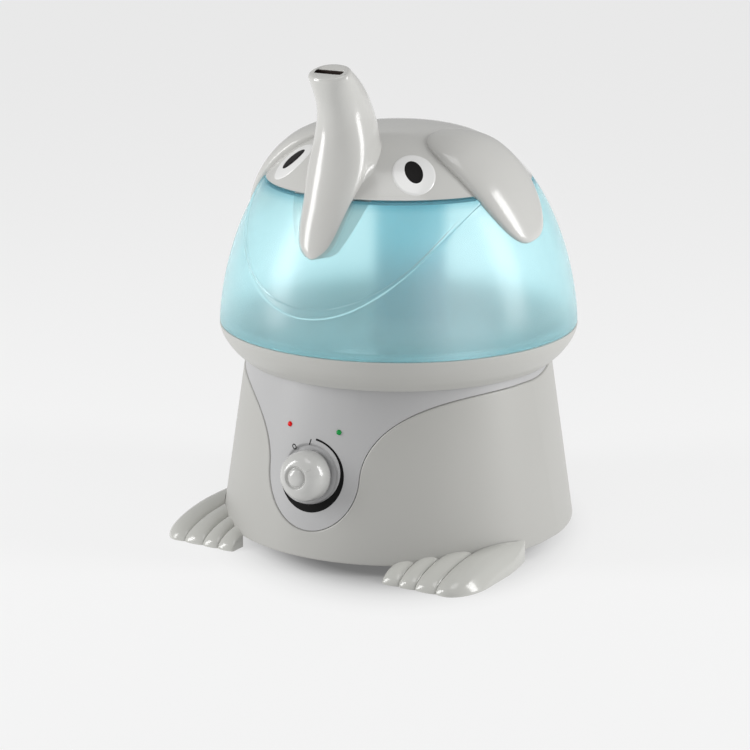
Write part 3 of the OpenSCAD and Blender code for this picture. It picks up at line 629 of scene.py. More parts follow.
def casing():
    """The casing is one closed profile carried along the seam line: up the panel's edge, round
    a small fillet, over the cone down to the lower edge, round it, and back up inside."""
    angle, z = seam_line()
    fillet = 1.1
    top = COLLAR - 0.05
    turn = np.linspace(0, PI / 2, 7)
    edge = [(0.0, WALL), (0.0, 2.0)]
    edge += [(fillet * (1 - math.cos(a)), fillet * (1 - math.sin(a))) for a in turn]
    edge += [(2.0, 0.0), (3.2, 0.0)]
    rows = []
    for away, depth in edge:
        row_angle, row_z = offset(angle, z, away)
        rows.append(row(row_angle, np.minimum(row_z, top), depth))
    start_angle, start_z = rows[-1].T[:2]
    length = np.concatenate([[0], np.cumsum(np.hypot(np.diff(angle) * BASE_R, np.diff(z)))])
    spread = mix(start_angle, PI * length / length[-1], 0.6)
    low = STAND + LOW_ROUND
    for t in np.linspace(0, 1, 18)[1:]:
        rows.append(row(mix(start_angle, spread, t), mix(start_z, low, t), 0))
    for a in turn[1:]:
        rise = LOW_ROUND * (1 - math.sin(a))
        rows.append(row(spread, STAND + rise, LOW_ROUND * (1 - math.cos(a))))
    rows.append(row(spread, STAND, WALL - 0.4))
    rows.append(row(spread, STAND + 0.4, WALL))
    for t in np.linspace(1, 0, 8)[1:]:
        rows.append(row(mix(start_angle, spread, t), mix(start_z, low, t), WALL))
    half = on_cone(rows)
    whole = np.concatenate([mirrored(half)[:, :0:-1], half[:, :-1]], axis=1)
    piece = Piece("casing").add(whole, wrap_rows=True, wrap_columns=True)
    piece.make("base", casing_grey, ["base_shell"], "casing_grey")


def panel():
    """The panel fills the seam line. Its grid runs from the edge to a split line and from there
    to the neck; in front, the split line opens into a disc that is laid out round the dial,
    where a shallow recess is sunk. A back face a little deeper closes it."""
    angle, z = seam_line()
    last = int(np.searchsorted(z, COLLAR - 1.6))
    column = np.arange(last)
    back = 2.1
    edge = [(-0.3, back), (-0.3, SINK + 0.35), (-0.4, SINK + 0.1), (-0.65, SINK), (-1.0, SINK)]
    rows = []
    for away, depth in edge:
        row_angle, row_z = offset(angle, z, away)
        rows.append(row(row_angle, row_z, depth)[:last])
    start = rows[-1]
    phi = np.linspace(-PI / 2, 0, OPENED + 1)
    under = dial_to_cone(DISC_R * np.cos(phi), DISC_R * np.sin(phi))
    over = dial_to_cone(DISC_R * np.cos(phi), -DISC_R * np.sin(phi))
    top_z = COLLAR - 0.1
    top_angle = start[:, 0] - 0.02 * smoothstep(start[:, 0], 1.6, 0.3)
    top_angle[: OPENED + 1] = angle_at(DISC_R * np.cos(phi), top_z)
    carried = top_angle[OPENED] + (start[:, 0] - start[OPENED, 0])
    carried = mix(carried, top_angle, smoothstep(column - OPENED, 0, 14))
    top_angle = np.where(column > OPENED, carried, top_angle)
    share = (under[OPENED][1] - start[OPENED, 1]) / (top_z - start[OPENED, 1])
    split = np.stack([mix(start[:, 0], top_angle, share), mix(start[:, 1], top_z, share)], -1)
    fade = np.exp(-np.maximum(column - OPENED, 0) / 4.0)[:, None]
    split = split + (under[OPENED] - split[OPENED]) * fade
    lower = split.copy()
    upper = split.copy()
    lower[: OPENED + 1] = under
    upper[: OPENED + 1] = over
    for t in np.linspace(0, 1, 9)[1:]:
        rows.append(row(*mix(start[:, :2], lower, t).T, SINK))
    hole = len(rows) - 1
    top = row(top_angle, top_z, back)
    for t in np.linspace(0, 1, 14):
        rows.append(row(*mix(upper, top[:, :2], t).T, SINK))
    rows.append(top)
    half = on_cone(rows)
    whole = np.concatenate([mirrored(half)[:, :0:-1], half], axis=1)
    keep = np.ones((whole.shape[0] - 1, whole.shape[1] - 1), bool)
    middle = whole.shape[1] // 2
    keep[hole, middle - OPENED: middle + OPENED] = False
    piece = Piece("front_panel_face").add(whole, keep=keep)
    piece.add(whole[[0, -1]])
    piece.add(disc_patch())
    piece.make("base", panel_grey, ["front_panel"], "panel_grey")


def dial_to_cone(x, up):
    """Angle and height on the cone of a point beside and above the dial's centre, where up is
    measured along the sloping face."""
    z = DIAL_Z + up * math.cos(TILT)
    return np.stack([angle_at(x, z), z + 0 * x], -1)


def on_panel(x, up, depth):
    """A point of the cone beside and above the dial's centre, sunk by a depth."""
    spot = dial_to_cone(x, up)
    return on_casing(spot[..., 0], spot[..., 1], depth)


def disc_patch():
    """Rings round the dial's centre: flat out to the recess, whose wall falls as a smooth step."""
    phi = np.linspace(-PI / 2, 3 * PI / 2, 4 * OPENED + 1)
    radius = np.concatenate([
        np.linspace(0.001, RECESS_R - 3.4, 5), np.linspace(RECESS_R - 3.2, RECESS_R + 0.4, 14),
        np.linspace(RECESS_R + 1.5, DISC_R, 6)])[:, None]
    depth = SINK + RECESS_DEPTH * smoothstep(radius, RECESS_R, RECESS_R - 2.6)
    return on_panel(radius * np.cos(phi), radius * np.sin(phi), depth)


casing()
panel()

# ---------------------------------------------------------------- dial

FACE_R = casing_r(DIAL_Z) - SINK
OUT = np.array([0, -math.cos(TILT), math.sin(TILT)])
UP = np.array([0, math.sin(TILT), math.cos(TILT)])
SIDE = np.array([1.0, 0, 0])
DIAL_CENTRE = np.array([0, -FACE_R, DIAL_Z])


def at_dial(x, up, out):
    """A point in the dial's own frame: to the right, up along the face, and out of it."""
    x, up, out = np.broadcast_arrays(x, up, out)
    return DIAL_CENTRE + x[..., None] * SIDE + up[..., None] * UP + out[..., None] * OUT


def knob():
    """The knob is a turned profile: a domed button in a groove, a gently sloping face, a soft
    shoulder and a bulging side. A pointer rib lies on its face."""
    rib_turn = math.radians(35)
    face = [(0.0, 19.3), (2.2, 19.2), (4.2, 18.7), (5.4, 18.0), (6.0, 17.2), (6.3, 16.6),
            (6.9, 16.5), (7.4, 16.9), (7.9, 17.7), (8.7, 17.9), (10.6, 17.3), (12.6, 16.0),
            (14.2, 14.4), (15.5, 12.4), (16.4, 10.2), (17.0, 7.6), (17.3, 5.0), (17.4, 3.2)]
    back = [(17.3, 1.0), (16.9, 0.6), (15.5, 0.6), (15.5, 2.0), (8.0, 2.2), (5.5, 2.2), (0.0, 2.2)]
    keys = np.column_stack([np.arange(len(face) + 1), face + back[:1]])
    profile = np.vstack([through(keys, np.linspace(0, len(face) - 1, 90)), back])
    turn = np.linspace(0, 2 * PI, 128, endpoint=False)
    radius = profile[:, :1]
    points = at_dial(radius * np.cos(turn), radius * np.sin(turn), profile[:, 1:] + 0 * turn)
    piece = Piece("dial_knob").add(points, wrap_columns=True)
    along = np.linspace(9.4, 14.0, 14)[:, None]
    across = np.linspace(0, 2 * PI, 12, endpoint=False)
    half_width = 0.42 * np.sqrt(np.clip(1 - ((along - 11.7) / 2.35) ** 2, 0, 1))
    height = np.interp(along, [8.7, 10.6, 12.6, 14.2, 15.5], [17.9, 17.3, 16.0, 14.4, 12.4])
    sideways = half_width * np.cos(across)
    rib = at_dial(
        along * math.cos(rib_turn) - sideways * math.sin(rib_turn),
        along * math.sin(rib_turn) + sideways * math.cos(rib_turn),
        height + 0.1 + half_width * 0.7 * np.sin(across))
    piece.add(rib, wrap_columns=True)
    piece.make("dial", knob_grey, ["knob"], "trim_grey", sharp=60)


def print_slab(outer, inner, proud=0.07):
    """Closed slab of ink between two lines on the panel's face, given beside and above the dial's
    centre; the ink stands a hair above the face."""
    loops = []
    for line, lift in ((inner, -0.2), (inner, proud), (outer, proud), (outer, -0.2)):
        loops.append(on_panel(line[:, 0], line[:, 1], SINK - lift))
    return np.stack(loops)


def marks():
    """The ink round the dial: a crescent that swells under the knob, a ring for off and a
    slanted bar for on."""
    s = np.linspace(0, 1, 120)
    turn = np.radians(mix(83, -155, s))
    outer_r = 25.5
    width = mix(1.4, 0.05, s) + 5.2 * np.sin(PI * s**1.75) ** 1.4
    outer = outer_r * np.column_stack([np.cos(turn), np.sin(turn)])
    inner = (outer_r - width)[:, None] * np.column_stack([np.cos(turn), np.sin(turn)])
    piece = Piece("dial_print")
    piece.add(print_slab(outer, inner), wrap_rows=True)
    loop = np.linspace(0, 2 * PI, 40)
    lean = math.radians(38)
    shape = np.column_stack([signed_power(np.cos(loop), 0.8), signed_power(np.sin(loop), 0.8)])
    turned_by = np.array([[math.cos(lean), math.sin(lean)], [-math.sin(lean), math.cos(lean)]])
    off_spot = [-14.3, 16.9]
    big = (shape * [1.55, 2.05]) @ turned_by + off_spot
    small = (shape * [0.9, 1.4]) @ turned_by + off_spot
    piece.add(print_slab(big, small), wrap_rows=True)
    rise = np.linspace(-2.0, 2.0, 6)
    slant = rise * 0.28
    bar_half = 0.36
    left = np.column_stack([-1.4 + slant - bar_half, 22.3 + rise])
    right = np.column_stack([-1.4 + slant + bar_half, 22.3 + rise])
    piece.add(print_slab(right, left), wrap_rows=True)
    piece.make("base", print_black, ["dial_marks"], "print_black")


def lamp(name, node, x, material, slot):
    """An indicator lamp: a small dome that stands out of the panel, on a short stem behind it."""
    profile = np.array([
        (0, 1.5), (0.7, 1.4), (1.3, 1.05), (1.7, 0.5), (1.85, 0.05), (1.85, -0.4), (1.4, -0.5),
        (1.4, -6), (0, -6)])
    turn = np.linspace(0, 2 * PI, 32, endpoint=False)
    a, z = dial_to_cone(x, LAMP_UP)
    out = polar(a, math.cos(TILT), math.sin(TILT))
    right = np.array([math.cos(a), math.sin(a), 0])
    upward = np.cross(out, right)
    radius = profile[:, :1, None]
    beside = radius * np.cos(turn)[:, None] * right
    above = radius * np.sin(turn)[:, None] * upward
    points = on_casing(a, z, SINK) + beside + above + profile[:, 1:, None] * out
    Piece(name).add(points, wrap_columns=True).make("base", material, [node], slot)


knob()
marks()
lamp("red_lamp_dome", "red_lamp", -LAMP_X, red_lens, "red_lens")
lamp("green_lamp_dome", "green_lamp", LAMP_X, green_lens, "green_lens")

# ---------------------------------------------------------------- bowl


def bowl():
    """Skin of the bowl: a turned profile with a small rounded lip, a soft crease and a flare that
    steepens up to the tank, closed by an inner face close behind it."""
    lip = NECK_R + 2.25
    crease = (lip + 8, COLLAR + 7.5)
    s = np.linspace(0, 1, 22)
    low = [(lip - 0.9, COLLAR + 0.02), (lip - 0.5, COLLAR + 0.02), (lip - 0.1, COLLAR + 0.15),
           (lip + 0.15, COLLAR + 0.5)]
    t = np.linspace(0.08, 1, 10)
    ramp_r = mix(low[-1][0], crease[0] - 0.9, t)
    ramp_z = mix(low[-1][1], crease[1] - 1.0, t) - 0.25 * np.sin(PI * t)
    ramp = list(zip(ramp_r, ramp_z))
    wall_r = mix(crease[0] + 0.1, TANK_R + 0.12, 1 - (1 - s) ** 1.7)
    wall_z = mix(crease[1] + 0.3, SEAM - 0.9, s)
    wall = list(zip(wall_r, wall_z))
    rim = [(TANK_R + 0.1, SEAM - 0.65), (TANK_R - 0.15, SEAM - 0.45), (TANK_R - 0.6, SEAM - 0.4)]
    outer = low + ramp + wall + rim
    inner = [(r - 1.0, z + (0.25 if z < crease[1] else 0)) for r, z in reversed(outer[3:-2])]
    piece = Piece("bowl_skin").add(turned(outer + inner), wrap_rows=True, wrap_columns=True)
    piece.make("base", bowl_grey, (), "casing_grey", sharp=35)


bowl()

# ---------------------------------------------------------------- tank


def dome_height(r):
    """Height of the dome at a radius from its axis: a superellipse."""
    return SEAM + DOME_H * (1 - np.clip(r / TANK_R, 0, 1) ** DOME_P) ** DOME_Q


def dome_radius(z):
    """Radius of the dome at a height."""
    share = np.clip((z - SEAM) / DOME_H, 0, 1)
    return TANK_R * (1 - share ** (1 / DOME_Q)) ** (1 / DOME_P)


def dome_slope(r, z):
    """Outward normal of the dome in its meridian plane, from the superellipse's gradient."""
    share = np.clip((z - SEAM) / DOME_H, 1e-6, 1)
    across = DOME_P / TANK_R * np.clip(r / TANK_R, 0, 1) ** (DOME_P - 1)
    up = share ** (1 / DOME_Q - 1) / DOME_Q / DOME_H
    length = np.hypot(across, up)
    return across / length, up / length


def grown(angle, r, z, lift):
    """A dome point moved out along its normal by a lift."""
    across, up = dome_slope(r, z)
    return polar(angle, r + lift * across, z + lift * up)


def smile_line(angle):
    """Height of the smile's lower edge at an angle: an ellipse as seen from the front, laid on
    the dome, which runs out level under the lid behind the ears."""
    phi = np.linspace(0, math.radians(68), 80)
    z = SEAM + 145.2 - 121 * np.cos(phi)
    around = np.arcsin(np.clip(95 * np.sin(phi) / dome_radius(z), 0, 1))
    keep = z < DECK - 2.6
    return np.interp(np.abs(angle), around[keep], z[keep])


def tank_wall():
    """The tank's wall: heights run from the seam to the smile, across its raised band, and on to
    the deck; outer and inner faces close at the foot and the head of the wall."""
    angle = np.linspace(-PI, PI, 361)[:-1][None, :]
    low_line = smile_line(angle)
    width = mix(6.0, 2.4, smoothstep(np.abs(angle), 0.1, 0.62))
    width = np.minimum(width + 1.2 * smoothstep(np.abs(angle), 0.62, 1.2), DECK - 1 - low_line)
    fade = smoothstep(np.abs(angle), 1.30, 1.16)
    foot = [(0.0, -0.9), (0.1, -0.35), (0.35, -0.1), (0.9, 0.0)]
    rows = [(SEAM + rise, lift) for rise, lift in foot]
    for t in np.linspace(0, 1, 34)[1:-1]:
        rows.append((mix(SEAM + 0.9, low_line - 0.8, t), 0))
    ridge = [(-0.5, 0.0), (-0.2, 0.06), (0.05, 0.5), (0.3, 0.9), (0.6, 1.0)]
    for rise, lift in ridge:
        rows.append((low_line + rise, lift * fade))
    rows.append((low_line + width * 0.5, 1.05 * fade))
    for rise, lift in reversed(ridge):
        rows.append((low_line + width - rise, lift * 0.85 * fade))
    for t in np.linspace(0, 1, 26)[1:]:
        rows.append((mix(low_line + width + 0.8, DECK, t), 0))
    outer = []
    for z, lift in rows:
        z = np.minimum(z, DECK)
        outer.append(grown(angle, dome_radius(z), z, lift)[0])
    z = np.linspace(DECK, SEAM, 40)[:, None]
    inner = grown(angle, dome_radius(z), z, -DOME_WALL)
    inner[..., 2] = np.maximum(inner[..., 2], SEAM)
    return np.concatenate([np.stack(outer), inner]), len(outer)


def annulus(centre, hole, radius, z):
    """Flat ring between a round hole that stands off the axis and a circle round the axis."""
    angle = np.linspace(0, 2 * PI, 128, endpoint=False)
    inner = polar(angle, hole, z) + np.array([centre[0], centre[1], 0])
    outer = polar(angle, radius, z)
    t = np.linspace(0, 1, 6)[:, None, None]
    return inner * (1 - t) + outer * t


def tank():
    """The tank: its wall, the deck with the chimney's hole, and the upstand that keeps the head
    in place."""
    piece = Piece("tank_body")
    wall, turning = tank_wall()
    piece.add(wall, wrap_rows=True, wrap_columns=True, second=turning)
    edge = dome_radius(DECK) - 1.4
    above = annulus(CHIMNEY, CHIMNEY_R, edge, DECK)
    below = annulus(CHIMNEY, CHIMNEY_R, edge, DECK - DOME_WALL)
    piece.add(np.concatenate([above, below[::-1]]), wrap_rows=True, wrap_columns=True)
    ring_r = dome_radius(LID) - 7
    ring = [(ring_r, DECK - 0.2), (ring_r, DECK + 4.6), (ring_r - 0.4, DECK + 5),
            (ring_r - 2.1, DECK + 5), (ring_r - 2.5, DECK + 4.6), (ring_r - 2.5, DECK - 0.2)]
    piece.add(turned(ring), wrap_rows=True, wrap_columns=True)
    piece.make("tank", tank_blue, ["tank_shell"], "tank_blue", second=tank_inner)


tank()

# ---------------------------------------------------------------- head

TRUNK_HOLE = (0, -68)              # where the mist passes from the head into the trunk
TRUNK_HOLE_R = 12.5
EYE_TURN = math.radians(38.3)      # the eye's centre, from the front
EYE_RISE = 116                     # and above the seam
TRUNK_TOP = 181                    # the trunk's mouth, above the seam
SLOPE = 0.36                       # rise of the mouth towards the back


def head():
    """The head is the top of the dome, laid out from the hole under the trunk to the rim, with an
    inner face one wall below it, a rounded rim and a skirt ring that drops over the upstand."""
    angle = np.linspace(0, 2 * PI, 180, endpoint=False)
    rim_r = dome_radius(LID)
    t = np.linspace(0, 1, 46)[:, None, None] ** 0.8

    def face(rim, lift):
        """The dome from the hole to a rim, moved out along its normal by a lift."""
        hole = polar(angle, TRUNK_HOLE_R, 0) + np.array([*TRUNK_HOLE, 0])
        flat = hole * (1 - t) + polar(angle, rim, 0) * t
        r = np.hypot(flat[..., 0], flat[..., 1])
        around = np.arctan2(flat[..., 0], -flat[..., 1])
        return grown(around, r, dome_height(r), lift)

    outer = face(dome_radius(LID + 1.0), 0)
    rim = np.stack([
        polar(angle, rim_r - 0.05, LID + 0.45), polar(angle, rim_r - 0.3, LID + 0.1),
        polar(angle, rim_r - 0.9, LID), polar(angle, rim_r - 2.2, LID)])
    inner = face(dome_radius(LID + 1.2), -DOME_WALL)[::-1]
    piece = Piece("head_dome")
    piece.add(np.concatenate([outer, rim, inner]), wrap_rows=True, wrap_columns=True)
    ring_r = rim_r - 6.7
    ring = [(ring_r, DECK + 0.1), (ring_r + 1.8, DECK + 0.1), (ring_r + 1.8, DECK + 6.5),
            (ring_r, DECK + 6.5)]
    piece.add(turned(ring), wrap_rows=True, wrap_columns=True)
    piece.make("head", head_grey, ["head_shell"], "trim_grey")


# Heights above the seam, half width, front, shoulder, and back of the trunk
TRUNK_KEYS = [
    (61.6, 0.6, -111.5, -107, -84), (62.6, 6.0, -112.0, -106, -84), (65, 10.0, -112.0, -104.5, -84),
    (69, 13.2, -111.6, -103, -84), (76, 15.6, -109.8, -100, -80), (86, 17.4, -106.8, -94.5, -72),
    (98, 19.0, -102.6, -87, -62), (110, 20.6, -98.4, -81, -52), (122, 21.2, -94.3, -76, -44),
    (136, 19.6, -91.0, -71, -40), (151, 17.0, -90.6, -70, -44), (164, 15.8, -92.4, -74, -54),
    (174, 15.2, -95.6, -82, -66), (181, 15.2, -98.2, -88, -76)]
# Heights above the seam and half widths where the trunk meets the dome
TRUNK_FOOT = [(61.6, 0.8), (63, 8), (65, 13), (72, 18.6), (82, 23.6), (96, 28.6), (104, 31.4),
              (112, 33.0), (120, 32.6), (128, 28.5), (136, 22.5)]


def trunk_section(height, count=64):
    """One ring of the trunk at a height above the seam: a rounded nose in front; behind the
    shoulder the sides flare out in a hollow curve to the dome low down, and close in a half
    superellipse higher up."""
    half, front, shoulder, back = through(TRUNK_KEYS, height)
    foot = float(through(TRUNK_FOOT, min(height, 136))[0])
    z = SEAM + height
    a = np.linspace(-PI / 2, PI / 2, count // 2 + 1)
    nose_x = half * signed_power(np.sin(a), 0.93)
    nose_y = shoulder + (front - shoulder) * np.cos(a) ** 0.97
    b = np.linspace(PI / 2, 3 * PI / 2, count // 2 + 1)[1:-1]
    high_x = half * signed_power(np.sin(b), 0.93)
    high_y = shoulder + (back - shoulder) * np.abs(np.cos(b)) ** 0.97
    r = dome_radius(z)
    root_y = -math.sqrt(max(r * r - foot * foot, 1.0)) + 1.5
    t = np.clip(np.abs(np.cos(b)) / 0.8, 0, 1)
    low_x = np.sign(np.sin(b)) * mix(half, foot + 0.5, t**1.7)
    low_y = mix(shoulder, max(root_y, shoulder + 1), t)
    inside = np.clip((np.abs(np.cos(b)) - 0.8) / 0.2, 0, 1)
    low_x = low_x * (1 - inside)
    low_y = low_y + 6 * inside
    share = smoothstep(height, 136, 112)
    x = np.concatenate([nose_x, mix(high_x, low_x, share)])
    y = np.concatenate([nose_y, mix(high_y, low_y, share)])
    middle = (front + back) / 2
    lean = SLOPE * smoothstep(height, 150, TRUNK_TOP) * (y - middle)
    return np.stack([x, y, z + lean], -1)


def trunk():
    """The trunk: rings up its outside, a rounded lip, and rings down into its narrow slot,
    whose inside takes a near-black painted shade.
    """
    rise = np.concatenate([
        TRUNK_KEYS[0][0] + 15 * (1 - np.cos(np.linspace(0, PI / 2, 16))),
        np.linspace(78, TRUNK_TOP, 62)])
    rings = [trunk_section(h) for h in rise]
    lip = rings[-1]
    centre = lip.mean(axis=0)
    slope = np.array([0, 1, SLOPE])
    up = np.array([0, -SLOPE, 1]) / math.hypot(1, SLOPE)
    for shrink, lift in ((0.975, 0.9), (0.93, 1.7), (0.86, 2.25), (0.78, 2.45), (0.7, 2.4)):
        rings.append(centre + (lip - centre) * shrink + up * lift)
    top = centre + up * 2.3
    count = len(lip)
    turn = np.concatenate([
        np.linspace(-PI / 2, PI / 2, count // 2 + 1),
        np.linspace(PI / 2, 3 * PI / 2, count // 2 + 1)[1:-1]])
    half_width = 12.4
    half_gap = 2.6
    deep = 14.0
    for grow, drop in ((0.8, 0.0), (0.25, 0.12), (0.0, 0.6), (-0.1, 1.6), (-0.2, deep)):
        slot_x = (half_width + grow) * signed_power(np.sin(turn), 0.45)
        slot_y = -(half_gap + grow) * signed_power(np.cos(turn), 0.5)
        rings.append(top + slot_x[:, None] * SIDE + slot_y[:, None] * slope - up * drop)
    rings.append(np.repeat((top - up * deep)[None, :], count, axis=0))
    first = rings[0].mean(axis=0)
    rings.insert(0, np.repeat(first[None, :], count, axis=0))
    piece = Piece("trunk_body").add(np.stack(rings), wrap_columns=True, second=len(rings) - 4)
    piece.make("head", head_grey, ["trunk"], "trim_grey", sharp=70, second=slot_painted_shade)


def ear(side, name, node):
    """An ear: rings that shrink from a superellipse outline towards the ear's middle line, laid
    over the dome, with a lift that rounds off at the outline; an underside closes it."""
    psi = np.linspace(0, 2 * PI, 160, endpoint=False)
    middle = 72.5
    reach = 37.0
    half = 31.5
    fullness = 2 / 2.4
    outline_x = middle + reach * signed_power(np.cos(psi), fullness)
    outline_y = half * signed_power(np.sin(psi), fullness)
    spine_x = np.clip(outline_x, middle - reach + 22, middle + reach - 20)
    phi = np.linspace(0, PI / 2, 26)
    crown = 2 / 3.2
    share = np.sin(phi) ** crown
    height = np.cos(phi) ** crown
    rings = []
    for inward, lift in [*zip(share, height), (1.0, None), (0.0, None)]:
        x = mix(spine_x, outline_x, inward)
        y = mix(0 * outline_y, outline_y, inward)
        s = (x - middle + reach) / (2 * reach)
        y = y + mix(-13, -7, s)
        r = np.minimum(np.hypot(x, y), TANK_R - 9)
        thick = mix(3.6, 7.6, smoothstep(s, 0.0, 0.45)) - 2.2 * smoothstep(s, 0.55, 1.0)
        rise = -1.2 + 0 * x if lift is None else 0.25 + lift * thick
        around = np.arctan2(x, -y)
        rings.append(grown(around, r, dome_height(r), rise))
    piece = Piece(name).add(mirrored(np.stack(rings), side), wrap_columns=True)
    piece.make("head", head_grey, [node], "trim_grey", sharp=75)


def dropped(points, direction):
    """Points moved along a direction until they lie on the dome, by Newton's method."""
    for _ in range(8):
        r = np.hypot(points[..., 0], points[..., 1])
        gap = points[..., 2] - dome_height(r)
        across, up = dome_slope(r, dome_height(r))
        out = np.stack([across * points[..., 0] / r, across * points[..., 1] / r, up], -1)
        step = gap * up / (out @ direction)
        points = points - step[..., None] * direction
    return points, out


def eye_patch(side, name, node, size, span, turn, shift, material, slot):
    """An oval disc laid on the dome round the eye's centre: rings in the tangent plane dropped on
    the dome, lifted by the disc's thickness, with a rounded rim. Its size is half its width and
    height, and its span is the heights of its foot and its face over the dome."""
    half_width, half_height = size
    low, high = span
    around = EYE_TURN
    z = SEAM + EYE_RISE + shift
    r = float(dome_radius(z))
    across, up = dome_slope(r, z)
    centre = polar(around, r, z)
    normal = np.array([across * math.sin(around), -across * math.cos(around), float(up)])
    right = np.array([math.cos(around), math.sin(around), 0])
    above = np.cross(normal, right) * -1
    above = above * np.sign(above[2])
    lean = math.radians(turn)
    psi = np.linspace(0, 2 * PI, 72, endpoint=False)
    rings = []
    rim = [(0.97, high - 0.08), (1.0, mix(low, high, 0.4)), (1.0, low)]
    for share, lift in [(0.001, high), (0.5, high), (0.9, high), *rim, (0.001, low)]:
        a = share * half_width * np.cos(psi)
        b = share * half_height * np.sin(psi)
        a, b = a * math.cos(lean) - b * math.sin(lean), a * math.sin(lean) + b * math.cos(lean)
        spot, out = dropped(centre + a[:, None] * right + b[:, None] * above, normal)
        rings.append(spot + lift * out)
    piece = Piece(name).add(mirrored(np.stack(rings), side), wrap_columns=True)
    piece.make("head", material, [node], slot)


head()
trunk()
ear(1, "right_ear_flap", "right_ear")
ear(-1, "left_ear_flap", "left_ear")
for side, word in ((1, "right"), (-1, "left")):
    eye_patch(side, f"{word}_eye_white", f"{word}_eye", (14.4, 17.2), (-0.3, 0.38), 0, 0.0,
              eye_white, "eye_white")
    eye_patch(side, f"{word}_eye_pupil", f"{word}_pupil", (6.0, 9.8), (0.1, 0.5), 8, 0.8,
              pupil_black, "print_black")

# ---------------------------------------------------------------- feet


def foot(side, name, node):
    """A foot: four toes side by side as a height over the floor, which is the product of an arch
    across each toe and a quarter ellipse that falls to the floor in front. A flat sole and a
    fixing tab under the casing close it."""
    bounds = [60.0, 73.0, 85.5, 101.0, 125.0]
    toe_y = 122.0
    high = 17.0
    x = []
    arch = []
    dip = []
    for i in range(4):
        s = np.linspace(0, 1, 22)[: None if i == 3 else -1]
        s = (1 - np.cos(PI * s)) / 2
        round_off = 1 - np.sqrt(np.clip(1 - (2 * s - 1) ** 2, 0, 1))
        depth = np.where((i == 3) & (s > 0.5), 1.0, 0.24)
        x.append(mix(bounds[i], bounds[i + 1], s))
        arch.append(1 - depth * round_off)
        dip.append(np.where((i == 3) & (s > 0.5), 0, round_off))
    x = np.concatenate(x)
    arch = np.concatenate(arch)
    dip = np.concatenate(dip)
    corner = np.clip((x - 107) / 18, 0, 1)
    front = -toe_y + 1.8 * dip + 30 * (1 - np.sqrt(1 - corner**2 * 0.999))
    body_r = BASE_R + 0.5
    back = -np.sqrt(np.maximum(body_r**2 - x**2, 30**2))
    back = np.where(x > 118, -31 - 31 * ((x - 118) / 7) ** 2, np.minimum(back, -31))
    t = (1 - np.cos(np.linspace(0, PI / 2, 40)))[:, None]
    y = mix(front, back, t)
    away = np.clip((y - front) / 60, 0, 1)
    z = high * arch * np.sqrt(1 - (1 - away) ** 2)
    lean = (TAPER * z) * smoothstep(t, 0.6, 1.0)
    top = np.stack([x + 0 * y, y + lean, z], -1)
    sole = top * np.array([1, 1, 0])
    loop = np.concatenate([top, sole[::-1]])
    start = loop[:, :1] * np.array([1, 1, 0])
    end = loop[:, -1:] * np.array([1, 1, 0])
    loop = np.concatenate([start, loop, end], axis=1)
    tab_low = 4.5
    tab_high = 7.9
    tab_x = np.linspace(66, 102, 12)
    tab_front = -np.sqrt(124**2 - tab_x**2)
    tab_loop = [(0, tab_low), (0, tab_high), (0.5, tab_high), (1, tab_high), (1, tab_low),
                (0.5, tab_low)]
    tab = np.stack([np.stack([tab_x, mix(tab_front, -64, u), 0 * tab_x + h], -1)
                    for u, h in tab_loop])
    close = tab.mean(axis=0, keepdims=True) + 0 * tab
    tab = np.concatenate([close[:, :1], tab, close[:, -1:]], axis=1)
    piece = Piece(name).add(mirrored(loop, side), wrap_rows=True)
    piece.add(mirrored(tab, side), wrap_rows=True)
    piece.make("base", foot_grey, [node], "trim_grey", sharp=40)


foot(1, "right_foot_toes", "right_foot")
foot(-1, "left_foot_toes", "left_foot")

# ---------------------------------------------------------------- stage, light and camera


def soft_box(name, turn, height, distance, width, tall, power):
    """A soft box light at an angle round the axis and a height, which faces the tank's middle."""
    box = bpy.data.lights.new(name, "AREA")
    box.shape = "RECTANGLE"
    box.size = width
    box.size_y = tall
    box.energy = power
    thing = placed(name, box)
    spot = polar(math.radians(turn), distance, height)
    thing.location = spot
    look = np.array([0, 0, 0.2]) - spot
    pitch = math.atan2(look[2], math.hypot(look[0], look[1]))
    thing.rotation_euler = (PI / 2 + pitch, 0, math.atan2(look[1], look[0]) - PI / 2)


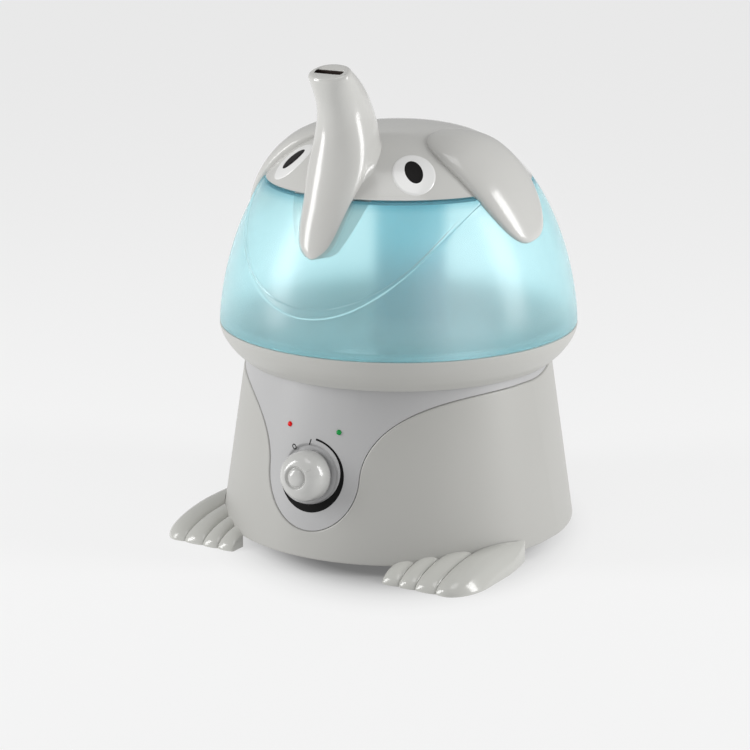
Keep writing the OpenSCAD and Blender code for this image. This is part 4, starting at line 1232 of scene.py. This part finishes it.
def painted_contact_shadow(finish):
    """Painted contact shadow: a grey wire that is dark under the object and fades out along an
    ellipse which reaches further towards the camera than to the sides."""
    beside = 0.131
    towards = 0.186
    place = finish.node("ShaderNodeMapping", None, finish.place, Rotation=(0, 0, -CAMERA_TURN))
    place = finish.vector("MULTIPLY", place, (1 / beside, 1 / towards, 0))
    away = finish.vector("LENGTH", place, output="Value")
    levels = [(0.60, 0.20), (0.655, 0.32), (0.70, 0.48), (0.75, 0.66), (0.80, 0.80), (0.86, 0.90),
              (0.93, 0.97), (1.0, 1.0)]
    stops = [(at, (level, level, level)) for at, level in levels]
    return finish.node("ShaderNodeValToRGB", {"stops": stops}, away * 0.94)


def floor():
    """A wide pale floor with a little glow of its own, so that it stays even far from the lights;
    under the object its glow is darkened into a painted contact shadow.
    """
    finish = Finish("floor_paint")
    cloud = finish.noise(700, 2)
    finish.shade(
        Base_Color=finish.blend(cloud, (0.200, 0.200, 0.200), (0.204, 0.204, 0.204)),
        Roughness=0.9,
        # painted shadow under the object, carried in the floor's glow
        Emission_Color=painted_contact_shadow(finish),
        Emission_Strength=0.715,
        Specular_IOR_Level=0.1,
    )
    reach = 14
    corners = [(-reach, -reach, 0), (reach, -reach, 0), (reach, reach, 0), (-reach, reach, 0)]
    mesh = bpy.data.meshes.new("floor")
    mesh.from_pydata(corners, [], [(0, 1, 2, 3)])
    mesh.materials.append(finish.material)
    placed("floor", mesh)


def sky():
    """Even white light from all round."""
    world = bpy.data.worlds.new("studio")
    world.use_nodes = True
    light = world.node_tree.nodes["Background"].inputs
    light["Color"].default_value = (1.0, 1.0, 1.0, 1)
    light["Strength"].default_value = 0.42
    bpy.context.scene.world = world


def camera():
    """The camera stands to the right of the front, a little above the object, and looks down."""
    down = math.radians(15.24)
    aside = math.radians(0.574)
    lens_data = bpy.data.cameras.new("camera")
    lens_data.lens = 116.5
    lens_data.sensor_width = 36
    lens_data.clip_end = 100
    thing = placed("camera", lens_data)
    thing.location = polar(CAMERA_TURN, 1.653, 0.557)
    thing.rotation_euler = (PI / 2 - down, 0, CAMERA_TURN + aside)
    bpy.context.scene.camera = thing


floor()
sky()
soft_box("left_box", turn=-50, height=0.62, distance=1.35, width=0.40, tall=1.05, power=11)
soft_box("right_box", turn=108, height=0.62, distance=1.35, width=0.42, tall=1.05, power=11.5)
soft_box("top_box", turn=31, height=1.7, distance=0.4, width=0.7, tall=0.7, power=3.0)
camera()
bpy.context.scene.view_settings.view_transform = "Standard"
